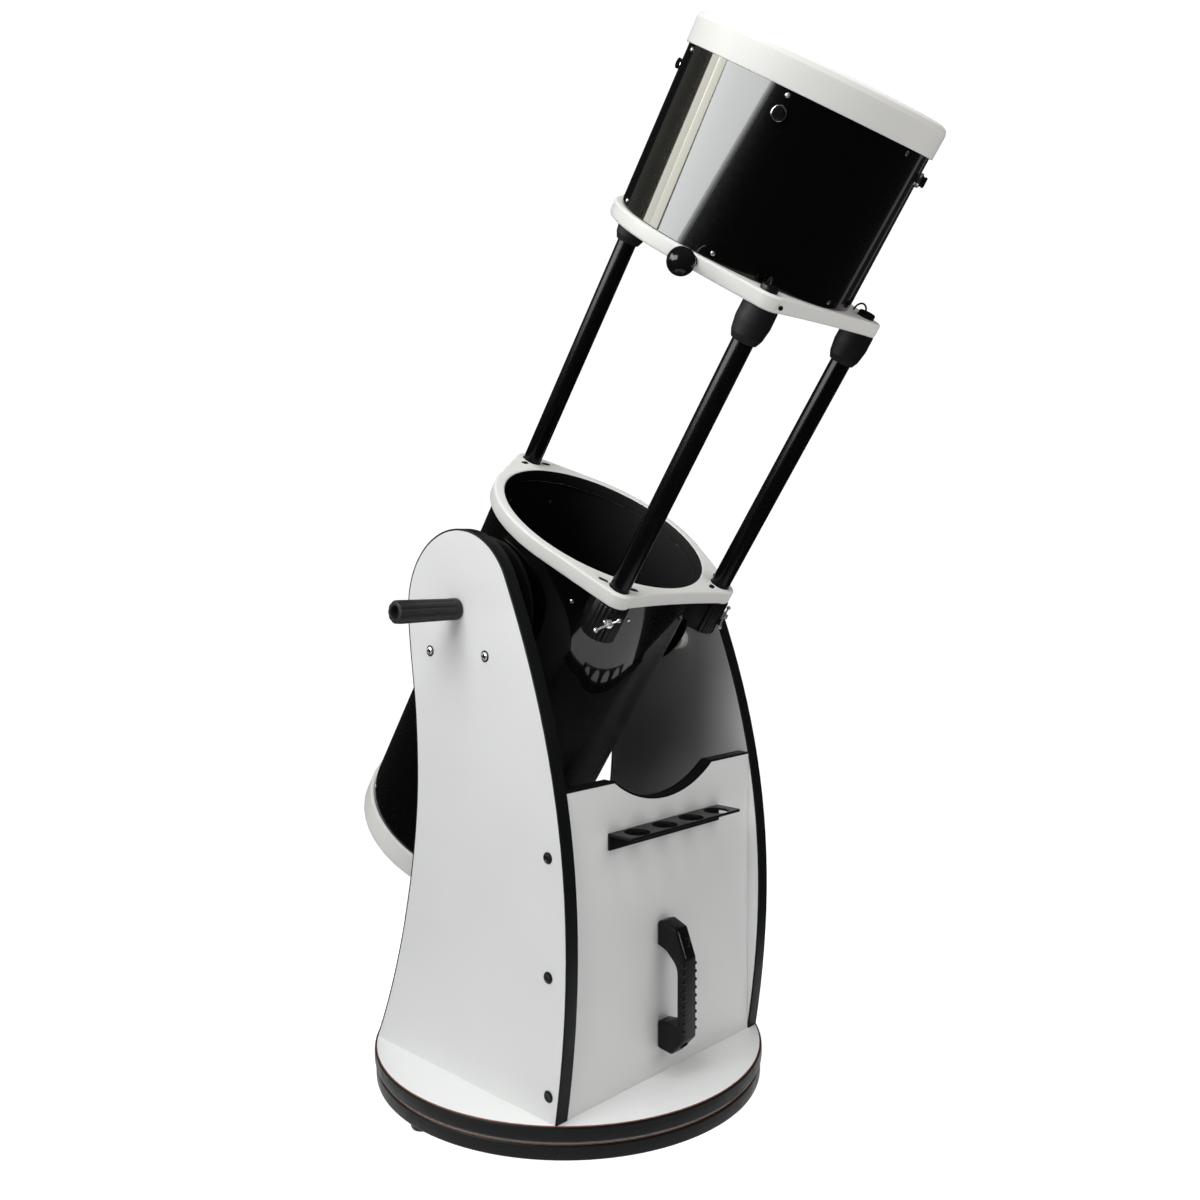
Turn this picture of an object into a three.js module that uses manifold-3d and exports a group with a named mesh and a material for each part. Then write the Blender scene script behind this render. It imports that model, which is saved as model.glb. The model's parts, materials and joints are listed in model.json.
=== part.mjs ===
// A collapsible-truss dobsonian telescope: a round ground board, a rocker box that turns on it,
// a lower tube with the primary mirror that tilts in the rocker, and an upper cage that slides on three
// struts.
// Millimetres, +Z up. The origin is on the azimuth axis at floor level, and the tube points up towards -Y.
import * as THREE from 'three';
import { mergeVertices } from 'three/addons/utils/BufferGeometryUtils.js';
import Module from 'manifold-3d';

const wasm = await Module();
wasm.setup();

// ---- driving dimensions -------------------------------------------------------------------------
const WIDE = 48; // sides of the round boards
const FINE = 36; // sides of the tubes and rings
const MEDIUM = 20; // sides of struts and boots
const COARSE = 10; // sides of small knobs and screws
const GAP = 0.3; // clearance between pieces that touch

const BOARD = 18; // thickness of every laminated board
const EDGING = 2.4; // thickness of the plastic edge strip
const FOOT_HEIGHT = 22;
const PAD_HEIGHT = 4; // space between ground board and turntable
const GROUND_RADIUS = 255.5;
const TURNTABLE_RADIUS = 257.5;
const FOOT_CIRCLE = 224;
const FOOT_ANGLES = [171.5, 291.5, 51.5]; // degrees about the azimuth axis
const TURNTABLE_TOP = FOOT_HEIGHT + BOARD + PAD_HEIGHT + BOARD;
const PIVOT_RADIUS = 5;
const PIVOT_END = 6.5; // height of the bolt's free end above the floor

const PANEL_OUTER_X = 190; // outer face of each side panel
const PANEL_INNER_X = PANEL_OUTER_X - BOARD;
const ALTITUDE_HEIGHT = 638; // altitude axis above the floor
const ALTITUDE_ANGLE = 56.24; // tube's elevation at rest, in degrees
const PANEL_ARC = 95; // radius of each side panel's round top
const PANEL_ARC_START = 25; // degrees above level where the front curve meets that arc
const HANDLE_HOLE = 9; // radius of the hole for the tension handle's stud

const FRONT_FACE_Y = -170;
const FRONT_TOP = 437.5;
const CUTOUT_HALF_WIDTH = 92;
const CUTOUT_RADIUS = 152;

const TUBE_RADIUS = 144;
const TUBE_WALL = 1.5;
const END_RING_RADIUS = 148;
const RING_BORE = 138;
const LOWER_TUBE_START = -375.6; // stations along the tube are measured from the altitude axis
const LOWER_RING = [104.5, 122.7];
const UPPER_RING = [479.2, 495.6];
const UPPER_TUBE_END = 672;
const UPPER_END = 706;
const LOWER_END = -411;

const STRUT_RADIUS = 12.15;
const STRUT_WALL = 1.75;
const STRUT_START = 57;
const STRUTS = { top: [0, 165], left: [-95, -135], right: [95, -135] };
const LOBE_RADIUS = 20; // rounding of the ring's corners around each strut
const RING_RADIUS = 152;
const JOURNAL_RADIUS = 60;
const FLANGE_RADIUS = 89.5;
const ROLLER_RADIUS = 14.8;
const ROLLER_AT = [52, 584]; // forward offset and height of a cradle roller

const MIRROR_RADIUS = 127;
const MIRROR_BACK = -366;
const MIRROR_EDGE = 30;
const FOCAL_LENGTH = 1200;
const CELL_BOLT_CIRCLE = 95;
const VANE_STATION = 649;
const FOCUSER_STATION = 598;
const FOCUSER_ANGLE = 68; // degrees about the tube axis, 90 is the tube's upper side
const FINDER_ANGLE = 38;
const DRAWTUBE_RADIUS = 27;

// ---- helpers ------------------------------------------------------------------------------------
const radians = THREE.MathUtils.degToRad;

function materialOf(color, roughness, metalness = 0) {
  return new THREE.MeshStandardMaterial({ color, roughness, metalness });
}

const laminate = materialOf(0xe2e5e7, 0.45);
const edgeStrip = materialOf(0x1b1c1e, 0.5);
const whiteCast = materialOf(0xe9e8e0, 0.4);
const tubePaint = materialOf(0x0b0b0c, 0.15, 0.2);
const blackPlastic = materialOf(0x151516, 0.5);
const rubber = materialOf(0x2a2b2d, 0.8);
const strutPaint = materialOf(0x0e0e10, 0.25, 0.3);
const chrome = materialOf(0xd8d8d8, 0.15, 1);
const nylon = materialOf(0xe8e6de, 0.5);
const mirrorGlass = materialOf(0xc8ced2, 0.02, 1);
const steel = materialOf(0x9a9a9c, 0.35, 1);
const castBlack = materialOf(0x1d1d1f, 0.6);

function add(parent, name, geometry, material) {
  const mesh = new THREE.Mesh(geometry, material);
  mesh.name = name;
  parent.add(mesh);
  return mesh;
}

function solidOf(geometry) {
  const bare = geometry.index ? geometry.toNonIndexed() : geometry.clone();
  bare.deleteAttribute('normal');
  bare.deleteAttribute('uv');
  const merged = mergeVertices(bare, 1e-3);
  const vertProperties = merged.attributes.position.array;
  const triVerts = new Uint32Array(merged.index.array);
  return new wasm.Manifold(new wasm.Mesh({ numProp: 3, vertProperties, triVerts }));
}

function geometryOf(solid) {
  const mesh = solid.getMesh();
  const geometry = new THREE.BufferGeometry();
  geometry.setAttribute('position', new THREE.BufferAttribute(mesh.vertProperties, 3));
  geometry.setIndex(new THREE.BufferAttribute(mesh.triVerts, 1));
  geometry.computeVertexNormals();
  return geometry;
}

function join(...geometries) {
  return geometryOf(geometries.map(solidOf).reduce((a, b) => a.add(b)));
}

function cut(geometry, ...cutters) {
  return geometryOf(cutters.map(solidOf).reduce((a, b) => a.subtract(b), solidOf(geometry)));
}

// A closed profile of [radius, height] pairs, running up its outer side, turned about Z.
function turned(profile, sides = FINE) {
  const points = profile.map(([r, z]) => new THREE.Vector2(r, z));
  return new THREE.LatheGeometry(points, sides).rotateX(Math.PI / 2);
}

function hoop(inner, outer, low, high, sides = FINE) {
  return turned([[outer, low], [outer, high], [inner, high], [inner, low], [outer, low]], sides);
}

function rod(radius, low, high, sides = MEDIUM) {
  return turned([[0, low], [radius, low], [radius, high], [0, high]], sides);
}

// A block from its two opposite corners.
function block([x0, y0, z0], [x1, y1, z1]) {
  const box = new THREE.BoxGeometry(x1 - x0, y1 - y0, z1 - z0);
  return box.translate((x0 + x1) / 2, (y0 + y1) / 2, (z0 + z1) / 2);
}

// The points of a closed or open line without the doubled ones where two of its curves meet.
function distinct(points) {
  const kept = points.filter((point, i) => i === 0 || point.distanceTo(points[i - 1]) > 0.01);
  if (kept[0].distanceTo(kept[kept.length - 1]) < 0.01) kept.pop();
  return kept;
}

function plate(shape, low, high, stepsPerCurve = COARSE) {
  const points = distinct(shape.getPoints(stepsPerCurve));
  const outline = new THREE.Shape(THREE.ShapeUtils.isClockWise(points) ? points.reverse() : points);
  outline.holes = shape.holes;
  const geometry = new THREE.ExtrudeGeometry(outline, { depth: high - low, bevelEnabled: false });
  return geometry.translate(0, 0, low);
}

// Turns a plate drawn in (y, z) so that its thickness runs along X.
function acrossX(geometry) {
  const turn = new THREE.Matrix4().makeBasis(
    new THREE.Vector3(0, 1, 0), new THREE.Vector3(0, 0, 1), new THREE.Vector3(1, 0, 0));
  return geometry.applyMatrix4(turn);
}

// Turns a piece made about Z so that its +Z points along +X or -X.
function alongX(geometry, side) {
  return geometry.rotateY(side * Math.PI / 2);
}

function circleHole(x, y, radius, sides = MEDIUM) {
  const turn = -360 / sides;
  const corners = Array.from({ length: sides }, (_, i) => polar(radius, i * turn));
  return new THREE.Path(corners.map(([dx, dy]) => new THREE.Vector2(x + dx, y + dy)));
}

function polygon(points) {
  return new THREE.Shape(points.map(([x, y]) => new THREE.Vector2(x, y)));
}

// The points of an open line moved sideways to its left by a distance.
function offsetLine(points, distance) {
  return points.map((point, i) => {
    const before = points[Math.max(i - 1, 0)];
    const after = points[Math.min(i + 1, points.length - 1)];
    const along = after.clone().sub(before).normalize();
    return new THREE.Vector2(point.x - along.y * distance, point.y + along.x * distance);
  });
}

// A strip of the edging's thickness that lies on the left side of an open line, and on the turntable.
function edgeStripShape(line) {
  const inner = offsetLine(line, GAP / 2);
  const outer = offsetLine(line, EDGING);
  const strip = [...inner, ...outer.reverse()];
  return new THREE.Shape(strip.map(({ x, y }) => new THREE.Vector2(x, Math.max(y, TURNTABLE_TOP))));
}

function polar(radius, degrees) {
  return [radius * Math.cos(radians(degrees)), radius * Math.sin(radians(degrees))];
}

const telescope = new THREE.Group();

// ---- ground board, feet and azimuth pivot ----------------------------------------------------------
function boardEdging(radius, low) {
  const high = low + BOARD;
  const inner = radius - EDGING;
  const crown = 1.3; // how far the strip's face bulges
  const ease = 4;
  return turned([
    [inner, low], [radius - crown, low], [radius, low + ease],
    [radius, high - ease], [radius - crown, high], [inner, high], [inner, low],
  ], WIDE);
}

function hexagon(acrossFlats) {
  const corner = acrossFlats / Math.sqrt(3);
  return polygon([0, 60, 120, 180, 240, 300].map((a) => polar(corner, a)));
}

function addRoundBoard(name, radius, low) {
  const board = hoop(PIVOT_RADIUS + GAP, radius - EDGING - GAP, low, low + BOARD, WIDE);
  add(telescope, name, board, laminate);
  add(telescope, `${name}_edging`, boardEdging(radius, low), edgeStrip);
}

function addFoot(index, degrees) {
  const foot = turned([
    [0, 0], [12, 0], [14, 1.5], [15, 6], [16.5, 12], [16.5, FOOT_HEIGHT], [0, FOOT_HEIGHT],
  ], MEDIUM);
  const [x, y] = polar(FOOT_CIRCLE, degrees);
  add(telescope, `foot_${index}`, foot.translate(x, y, 0), blackPlastic);
}

function addBearingPad(index, degrees) {
  const padCircle = 190;
  const low = FOOT_HEIGHT + BOARD;
  const pad = block([padCircle - 14, -18, low], [padCircle + 14, 18, low + PAD_HEIGHT - 0.1]);
  add(telescope, `bearing_pad_${index}`, pad.rotateZ(radians(degrees)), nylon);
}

function addPivot() {
  const washerTop = TURNTABLE_TOP + 2.4;
  const headTop = washerTop + 6.4;
  const shank = turned([
    [0, PIVOT_END], [PIVOT_RADIUS - 1, PIVOT_END], [PIVOT_RADIUS, PIVOT_END + 1],
    [PIVOT_RADIUS, TURNTABLE_TOP + GAP], [16, TURNTABLE_TOP + GAP], [16, washerTop], [0, washerTop],
  ], MEDIUM);
  const head = plate(hexagon(17), washerTop - 0.5, headTop);
  add(telescope, 'azimuth_pivot_bolt', join(shank, head), steel);
  const nut = hexagon(17);
  nut.holes.push(circleHole(0, 0, PIVOT_RADIUS + GAP));
  add(telescope, 'azimuth_pivot_nut', plate(nut, FOOT_HEIGHT - 8.5, FOOT_HEIGHT), steel);
}

addRoundBoard('ground_board', GROUND_RADIUS, FOOT_HEIGHT);
FOOT_ANGLES.forEach((angle, i) => addFoot(i + 1, angle));
FOOT_ANGLES.forEach((angle, i) => addBearingPad(i + 1, angle));
addPivot();

// ---- rocker box ------------------------------------------------------------------------------------
// The side panel's edge from its front foot, over the round top, to its back foot, as (y, z) points.
function sidePanelEdge() {
  const [arcY, arcRise] = polar(PANEL_ARC, 180 - PANEL_ARC_START);
  const edge = new THREE.Path();
  edge.moveTo(-168.5, TURNTABLE_TOP);
  edge.bezierCurveTo(-206.6, 289.5, -184.6, 467, arcY, ALTITUDE_HEIGHT + arcRise);
  edge.absarc(0, ALTITUDE_HEIGHT, PANEL_ARC, radians(180 - PANEL_ARC_START), 0, true);
  edge.bezierCurveTo(95, 575, 78.5, 540, 78.5, 430);
  edge.bezierCurveTo(78.5, 319, 117.7, 164.6, 169, TURNTABLE_TOP);
  return distinct(edge.getPoints(COARSE));
}

function addSidePanel(name, side) {
  const line = sidePanelEdge();
  const board = new THREE.Shape(line);
  board.holes.push(circleHole(0, ALTITUDE_HEIGHT, HANDLE_HOLE));
  const low = side > 0 ? PANEL_INNER_X : -PANEL_OUTER_X;
  add(telescope, `side_panel_${name}`, acrossX(plate(board, low, low + BOARD)), laminate);
  const strip = acrossX(plate(edgeStripShape(line), low, low + BOARD));
  add(telescope, `side_edging_${name}`, strip, edgeStrip);
}

// The front panel's top line from right to left, with the round cut-out that clears the tube.
function frontTopLine() {
  const reach = PANEL_INNER_X - GAP;
  const rise = Math.sqrt(CUTOUT_RADIUS ** 2 - CUTOUT_HALF_WIDTH ** 2);
  const half = Math.asin(CUTOUT_HALF_WIDTH / CUTOUT_RADIUS);
  const top = FRONT_TOP - EDGING;
  const line = new THREE.Path();
  line.moveTo(-reach, top);
  line.lineTo(-CUTOUT_HALF_WIDTH, top);
  line.absarc(0, top + rise, CUTOUT_RADIUS, 1.5 * Math.PI - half, 1.5 * Math.PI + half, false);
  line.lineTo(reach, top);
  return distinct(line.getPoints(COARSE));
}

function addFrontPanel() {
  const line = frontTopLine();
  const reach = PANEL_INNER_X - GAP;
  const corners = [new THREE.Vector2(reach, TURNTABLE_TOP), new THREE.Vector2(-reach, TURNTABLE_TOP)];
  const board = new THREE.Shape([...line, ...corners]);
  const standing = (shape) =>
    plate(shape, 0, BOARD).rotateX(Math.PI / 2).translate(0, FRONT_FACE_Y + BOARD, 0);
  add(telescope, 'front_panel', standing(board), laminate);
  add(telescope, 'front_panel_edging', standing(edgeStripShape(line)), edgeStrip);
}

function addEyepieceRack() {
  const half = 104;
  const depth = 38;
  const shelfTop = 378;
  const sheet = 3;
  const back = FRONT_FACE_Y - GAP / 3;
  const shelf = polygon([[-half, back - depth], [half, back - depth], [half, back], [-half, back]]);
  for (const x of [-75, -25, 25, 75]) shelf.holes.push(circleHole(x, back - 20, 16));
  const flange = block([-half, back - sheet, shelfTop - 20], [half, back, shelfTop - sheet / 2]);
  add(telescope, 'eyepiece_rack', join(plate(shelf, shelfTop - sheet, shelfTop), flange), blackPlastic);
}

function addCarryHandle() {
  const middle = -4; // across the panel
  const halfWidth = 12;
  const out = (stand, z) => [FRONT_FACE_Y - 0.1 - stand, z];
  const outside = [
    [0, 97], [3, 95], [22, 93], [43, 116], [43, 214], [29, 249], [10, 256], [2, 254], [0, 250],
  ];
  const inside = [[0, 224], [14, 219], [25, 211], [31, 198], [31, 127], [16, 130], [0, 129]];
  const profile = polygon([...outside, ...inside].map(([stand, z]) => out(stand, z)));
  add(telescope, 'carry_handle', acrossX(plate(profile, middle - halfWidth, middle + halfWidth)), blackPlastic);
}

function addCradleRoller(name, side, y) {
  const width = 14.5;
  const outer = PANEL_INNER_X - GAP;
  const roller = alongX(rod(ROLLER_RADIUS, outer - width, outer), side);
  add(telescope, `cradle_roller_${name}`, roller.translate(0, y, ROLLER_AT[1]), nylon);
}

addRoundBoard('turntable_board', TURNTABLE_RADIUS, TURNTABLE_TOP - BOARD);
addSidePanel('left', -1);
addSidePanel('right', 1);
addFrontPanel();
addEyepieceRack();
addCarryHandle();
for (const [side, sign] of [['left', -1], ['right', 1]]) {
  addCradleRoller(`${side}_front`, sign, -ROLLER_AT[0]);
  addCradleRoller(`${side}_rear`, sign, ROLLER_AT[0]);
}

// ---- tube assembly: local +Z is the tube's axis, local +Y its upper side ------------------------------
const tube = new THREE.Group();
tube.position.z = ALTITUDE_HEIGHT;
tube.rotation.x = radians(90 - ALTITUDE_ANGLE);
telescope.add(tube);

const boreRadius = STRUT_RADIUS + 0.45;
const strutAngle = ([x, y]) => THREE.MathUtils.radToDeg(Math.atan2(y, x));

// The truss ring's outline: a circle drawn out to a rounded corner at each strut.
function ringShape() {
  const distance = 165;
  const spread = THREE.MathUtils.radToDeg(Math.acos((RING_RADIUS - LOBE_RADIUS) / distance));
  const [top, left, right] = [90, strutAngle(STRUTS.left) + 360, strutAngle(STRUTS.right) + 360];
  const shape = new THREE.Shape();
  const corner = ([x, y], angle, before, after) =>
    shape.absarc(x, y, LOBE_RADIUS, radians(angle - before), radians(angle + after), false);
  corner(STRUTS.top, top, spread, spread);
  shape.absarc(0, 0, RING_RADIUS, radians(top + spread), radians(left - spread), false);
  corner(STRUTS.left, left, spread, 62);
  shape.quadraticCurveTo(0, -147, ...cornerPoint(STRUTS.right, right - 62));
  corner(STRUTS.right, right, 62, spread);
  shape.absarc(0, 0, RING_RADIUS, radians(right + spread), radians(top + 360 - spread), false);
  shape.holes.push(circleHole(0, 0, RING_BORE, FINE));
  return shape;
}

function cornerPoint([x, y], degrees) {
  const [dx, dy] = polar(LOBE_RADIUS, degrees);
  return [x + dx, y + dy];
}

function addTrussRings() {
  const steps = 6; // of each curve in the outline
  const lower = ringShape();
  for (const [x, y] of Object.values(STRUTS)) lower.holes.push(circleHole(x, y, boreRadius));
  add(tube, 'lower_truss_ring', plate(lower, ...LOWER_RING, steps), whiteCast);
  add(tube, 'upper_truss_ring', plate(ringShape(), ...UPPER_RING, steps), whiteCast);
}

function addTubes() {
  const inner = TUBE_RADIUS - TUBE_WALL;
  add(tube, 'lower_tube', hoop(inner, TUBE_RADIUS, LOWER_TUBE_START, LOWER_RING[0] - GAP), tubePaint);
  const shell = hoop(inner, TUBE_RADIUS, UPPER_RING[1] + GAP, UPPER_TUBE_END);
  const port = rod(30, 100, 170).rotateY(Math.PI / 2).rotateZ(radians(FOCUSER_ANGLE));
  add(tube, 'upper_tube', cut(shell, port.translate(0, 0, FOCUSER_STATION)), tubePaint);
}

// Each end ring caps its tube and has a spigot that fits inside it.
function addEndRings() {
  const spigot = TUBE_RADIUS - TUBE_WALL - 0.9;
  const low = UPPER_TUBE_END + GAP;
  const depth = 8;
  add(tube, 'upper_end_ring', turned([
    [136, low - depth], [spigot, low - depth], [spigot, low], [147.5, low], [147.5, UPPER_END - 7],
    [145.5, UPPER_END - 2], [141, UPPER_END], [135, UPPER_END], [133, UPPER_END - 3], [133, low],
    [136, low - depth],
  ]), whiteCast);
  const high = LOWER_TUBE_START - GAP;
  add(tube, 'lower_end_ring', turned([
    [135, LOWER_END], [143, LOWER_END], [147, LOWER_END + 2], [END_RING_RADIUS, LOWER_END + 6],
    [END_RING_RADIUS, high], [spigot, high], [spigot, high + depth], [137, high + depth], [134, high],
    [134, LOWER_END + 2], [135, LOWER_END],
  ]), whiteCast);
}

function addAltitudeHub(name, side) {
  const bore = PIVOT_RADIUS + 0.4;
  const flange = [146, 150];
  const tip = PANEL_INNER_X - 0.6;
  const hub = alongX(turned([
    [bore, 118], [JOURNAL_RADIUS, 118], [JOURNAL_RADIUS, flange[0]], [FLANGE_RADIUS, flange[0]],
    [FLANGE_RADIUS, flange[1]], [JOURNAL_RADIUS, flange[1]], [JOURNAL_RADIUS, tip], [bore, tip],
    [bore, 118],
  ], FINE), side);
  add(tube, `altitude_hub_${name}`, cut(hub, tubeCutter(-110, 110)), castBlack);
}

// A cylinder a little wider than the tube, used to seat pieces against its curved wall.
function tubeCutter(low, high) {
  return rod(TUBE_RADIUS + 0.45, low, high, 96);
}

function addTensionHandle(name, side) {
  const start = PANEL_OUTER_X + 0.4;
  const end = 282;
  const handle = alongX(turned([
    [0, 147], [PIVOT_RADIUS, 147], [PIVOT_RADIUS, start], [13, start], [13.4, start + 8], [13.4, end - 2],
    [12.4, end], [8.5, end], [7.5, end - 9], [0, end - 9],
  ], MEDIUM), side);
  add(tube, `tension_handle_${name}`, handle, blackPlastic);
}

// Pieces around a strut are made on the tube's +X side and turned to the strut's angle.
function atStrut(geometry, position) {
  return geometry.rotateZ(radians(strutAngle(position)));
}

function addStrutClamp(name, position) {
  const radius = Math.hypot(...position);
  const low = 58;
  const high = LOWER_RING[0] - GAP;
  const outline = polygon([[135, -22], [180, -22], [186, -15], [186, 15], [180, 22], [135, 22]]);
  outline.holes.push(circleHole(radius, 0, boreRadius));
  const leverStation = 86;
  const leverHole = alongX(rod(3.4, 176, 190, COARSE), 1).translate(0, 0, leverStation);
  const relief = block([120, -40, low - 1], [150, 40, low + 8]);
  const body = cut(plate(outline, low, high), tubeCutter(low - 5, high + 5), leverHole, relief);
  add(tube, `strut_clamp_${name}`, atStrut(body, position), castBlack);

  const screw = alongX(turned([
    [0, 178], [3, 178], [3, 186.4], [6, 186.4], [6, 194], [0, 194],
  ], COARSE), 1);
  const wing = block([188, 3, -2], [192, 19, 2]).rotateX(radians(46));
  const lever = join(screw, wing, wing.clone().rotateX(Math.PI));
  add(tube, `clamp_lever_${name}`, atStrut(lever.translate(0, 0, leverStation), position), chrome);
}

function addStrut(name, position) {
  const high = UPPER_RING[0] - GAP;
  const bore = STRUT_RADIUS - STRUT_WALL;
  const strut = hoop(bore, STRUT_RADIUS, STRUT_START, high, MEDIUM).translate(...position, 0);
  add(tube, `strut_${name}`, strut, strutPaint);
  const inner = STRUT_RADIUS + GAP;
  const boot = turned([
    [inner, 439], [14.8, 439], [18, 447], [19.8, 458], [20.1, 468], [19.6, high], [inner, high], [inner, 439],
  ], MEDIUM).translate(...position, 0);
  add(tube, `strut_boot_${name}`, boot, rubber);
}

function addMirrorCell() {
  const rear = -406;
  const front = -396;
  const postTop = MIRROR_BACK - GAP;
  const holes = [];
  const solids = [hoop(118, 133.4, rear, front), rod(34, rear, front)];
  [90, 210, 330].forEach((angle, i) => {
    const turn = radians(angle);
    solids.push(block([20, -14, rear], [122, 14, front]).rotateZ(turn));
    solids.push(rod(9, front - 1, postTop, COARSE).translate(62, 0, 0).rotateZ(turn));
    holes.push(rod(3.6, rear - 5, front + 5, COARSE).translate(CELL_BOLT_CIRCLE, 0, 0).rotateZ(turn));
    const knob = turned([
      [0, -424], [9, -424], [10.5, -422.5], [10.5, -408], [9.5, rear - GAP], [3, rear - GAP], [3, -382],
      [0, -382],
    ], COARSE).translate(CELL_BOLT_CIRCLE, 0, 0).rotateZ(turn);
    add(tube, `collimation_knob_${i + 1}`, knob, blackPlastic);
  });
  add(tube, 'mirror_cell', cut(join(...solids), ...holes), castBlack);
}

// The mirror's front face is a shallow paraboloid of the stated focal length.
function addPrimaryMirror() {
  const edgeHeight = MIRROR_BACK + MIRROR_EDGE;
  const dish = (r) => edgeHeight - (MIRROR_RADIUS ** 2 - r ** 2) / (4 * FOCAL_LENGTH);
  const face = [MIRROR_RADIUS, 85, 42, 0].map((r) => [r, dish(r)]);
  const profile = [[0, MIRROR_BACK], [MIRROR_RADIUS, MIRROR_BACK], ...face];
  add(tube, 'primary_mirror', turned(profile), mirrorGlass);
}

addTubes();
addTrussRings();
addEndRings();
addMirrorCell();
addPrimaryMirror();
for (const [name, side] of [['left', -1], ['right', 1]]) {
  addAltitudeHub(name, side);
  addTensionHandle(name, side);
}
for (const [name, position] of Object.entries(STRUTS)) {
  addStrutClamp(name, position);
  addStrut(name, position);
}

// ---- upper cage: spider, secondary mirror, focuser, finder shoe and guide knob ------------------------
function addSpider() {
  const reach = TUBE_RADIUS - TUBE_WALL - 0.8;
  const halfHeight = 12;
  const solids = [rod(15, VANE_STATION - 17, VANE_STATION + 13, MEDIUM)];
  for (const angle of [30, 120, 210, 300]) {
    const vane = block([10, -0.7, VANE_STATION - halfHeight], [reach, 0.7, VANE_STATION + halfHeight]);
    const tab = block([reach - 4, -6, VANE_STATION - 9], [reach, 6, VANE_STATION + 9]);
    solids.push(vane.rotateZ(radians(angle)), tab.rotateZ(radians(angle)));
  }
  add(tube, 'spider', join(...solids), castBlack);
}

// The secondary mirror faces down the tube and towards the focuser, at 45 degrees.
function addSecondary() {
  const tilt = (geometry) => geometry
    .rotateY(radians(-45)).rotateZ(radians(FOCUSER_ANGLE)).translate(0, 0, FOCUSER_STATION);
  const glass = 9;
  const slab = tilt(block([-60, -60, 0], [60, 60, glass]));
  const above = tilt(block([-90, -90, glass + GAP], [90, 90, 90]));
  const mirror = solidOf(rod(29, 540, 660)).intersect(solidOf(slab));
  add(tube, 'secondary_mirror', geometryOf(mirror), mirrorGlass);
  const top = 624;
  const body = solidOf(rod(27.5, 560, top)).intersect(solidOf(above));
  const bolt = rod(4, top - 2, VANE_STATION - 17 - GAP, COARSE);
  add(tube, 'secondary_holder', geometryOf(body.add(solidOf(bolt))), castBlack);
}

// In the focuser's own frame +Z runs out along its drawtube, +Y along the tube and +X across it.
function focuserPlace(geometry) {
  const frame = new THREE.Matrix4().makeBasis(
    new THREE.Vector3(0, 1, 0), new THREE.Vector3(0, 0, 1), new THREE.Vector3(1, 0, 0));
  return geometry.applyMatrix4(frame).rotateZ(radians(FOCUSER_ANGLE)).translate(0, 0, FOCUSER_STATION);
}

function addFocuser() {
  const bore = DRAWTUBE_RADIUS + 0.5;
  const shaftOffset = 34;
  const shaftHeight = 176;
  const shaft = (radius, low, high, sides) =>
    rod(radius, low, high, sides).rotateY(Math.PI / 2).translate(0, -shaftOffset, shaftHeight);
  const seat = tubeCutter(-70, 70).rotateX(Math.PI / 2);
  const saddle = block([-42, -42, 128], [42, 42, 152]);
  const barrel = rod(31, 150, 196);
  const housing = block([-17, -46, 151], [17, -20, 189]);
  const body = cut(join(saddle, barrel, housing), seat, rod(bore, 120, 200), shaft(3.4, -30, 30, COARSE));
  add(tube, 'focuser_base', focuserPlace(body), blackPlastic);

  const socket = 25.5; // radius of the bore that takes the eyepiece
  const draw = turned([
    [socket, 140], [DRAWTUBE_RADIUS, 140], [DRAWTUBE_RADIUS, 198], [31.5, 198], [32.5, 200], [32.5, 220],
    [31.5, 222], [socket, 222], [socket, 140],
  ], MEDIUM);
  const screwHole = alongX(rod(2.5, 20, 40, COARSE), 1).translate(0, 0, 211);
  add(tube, 'drawtube', focuserPlace(cut(draw, screwHole)), castBlack);

  const knob = (side) => turned([
    [0, 27], [10, 27], [15, 29.5], [15, 42], [13.5, 44], [0, 44],
  ], MEDIUM).rotateY(side * Math.PI / 2).translate(0, -shaftOffset, shaftHeight);
  add(tube, 'focus_knobs', focuserPlace(join(shaft(3, -30, 30, COARSE), knob(1), knob(-1))), blackPlastic);

  const lock = alongX(turned([
    [0, 26.5], [2, 26.5], [2, 33.2], [6, 33.2], [6, 43], [5, 44], [0, 44],
  ], COARSE), 1).translate(0, 0, 211);
  add(tube, 'eyepiece_lock_screw', focuserPlace(lock), chrome);
}

function addFinderShoe() {
  const outline = polygon([
    [130, -19], [151, -19], [163, -17], [163, -11], [154, -14.5], [154, 14.5], [163, 11], [163, 17],
    [151, 19], [130, 19],
  ]);
  const shoe = cut(plate(outline, 572, 624), tubeCutter(560, 640));
  add(tube, 'finder_shoe', shoe.rotateZ(radians(FINDER_ANGLE)), blackPlastic);
}

function addGuideKnob() {
  const angle = 204;
  const ball = 15;
  const centre = 186;
  const station = (UPPER_RING[0] + UPPER_RING[1]) / 2;
  const arc = [-70, -40, -15, 15, 45, 70, 90].map((a) => {
    const [r, h] = polar(ball, a);
    return [Math.max(r, 0), centre + h];
  });
  const knob = turned([[0, 153.6], [5.5, 153.6], ...arc], 20);
  add(tube, 'guide_knob', alongX(knob, 1).rotateZ(radians(angle)).translate(0, 0, station), blackPlastic);
}

addSpider();
addSecondary();
addFocuser();
addFinderShoe();
addGuideKnob();

export default telescope;
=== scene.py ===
import json
import math

import bmesh
import bpy
from mathutils import Matrix, Vector, geometry


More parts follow.
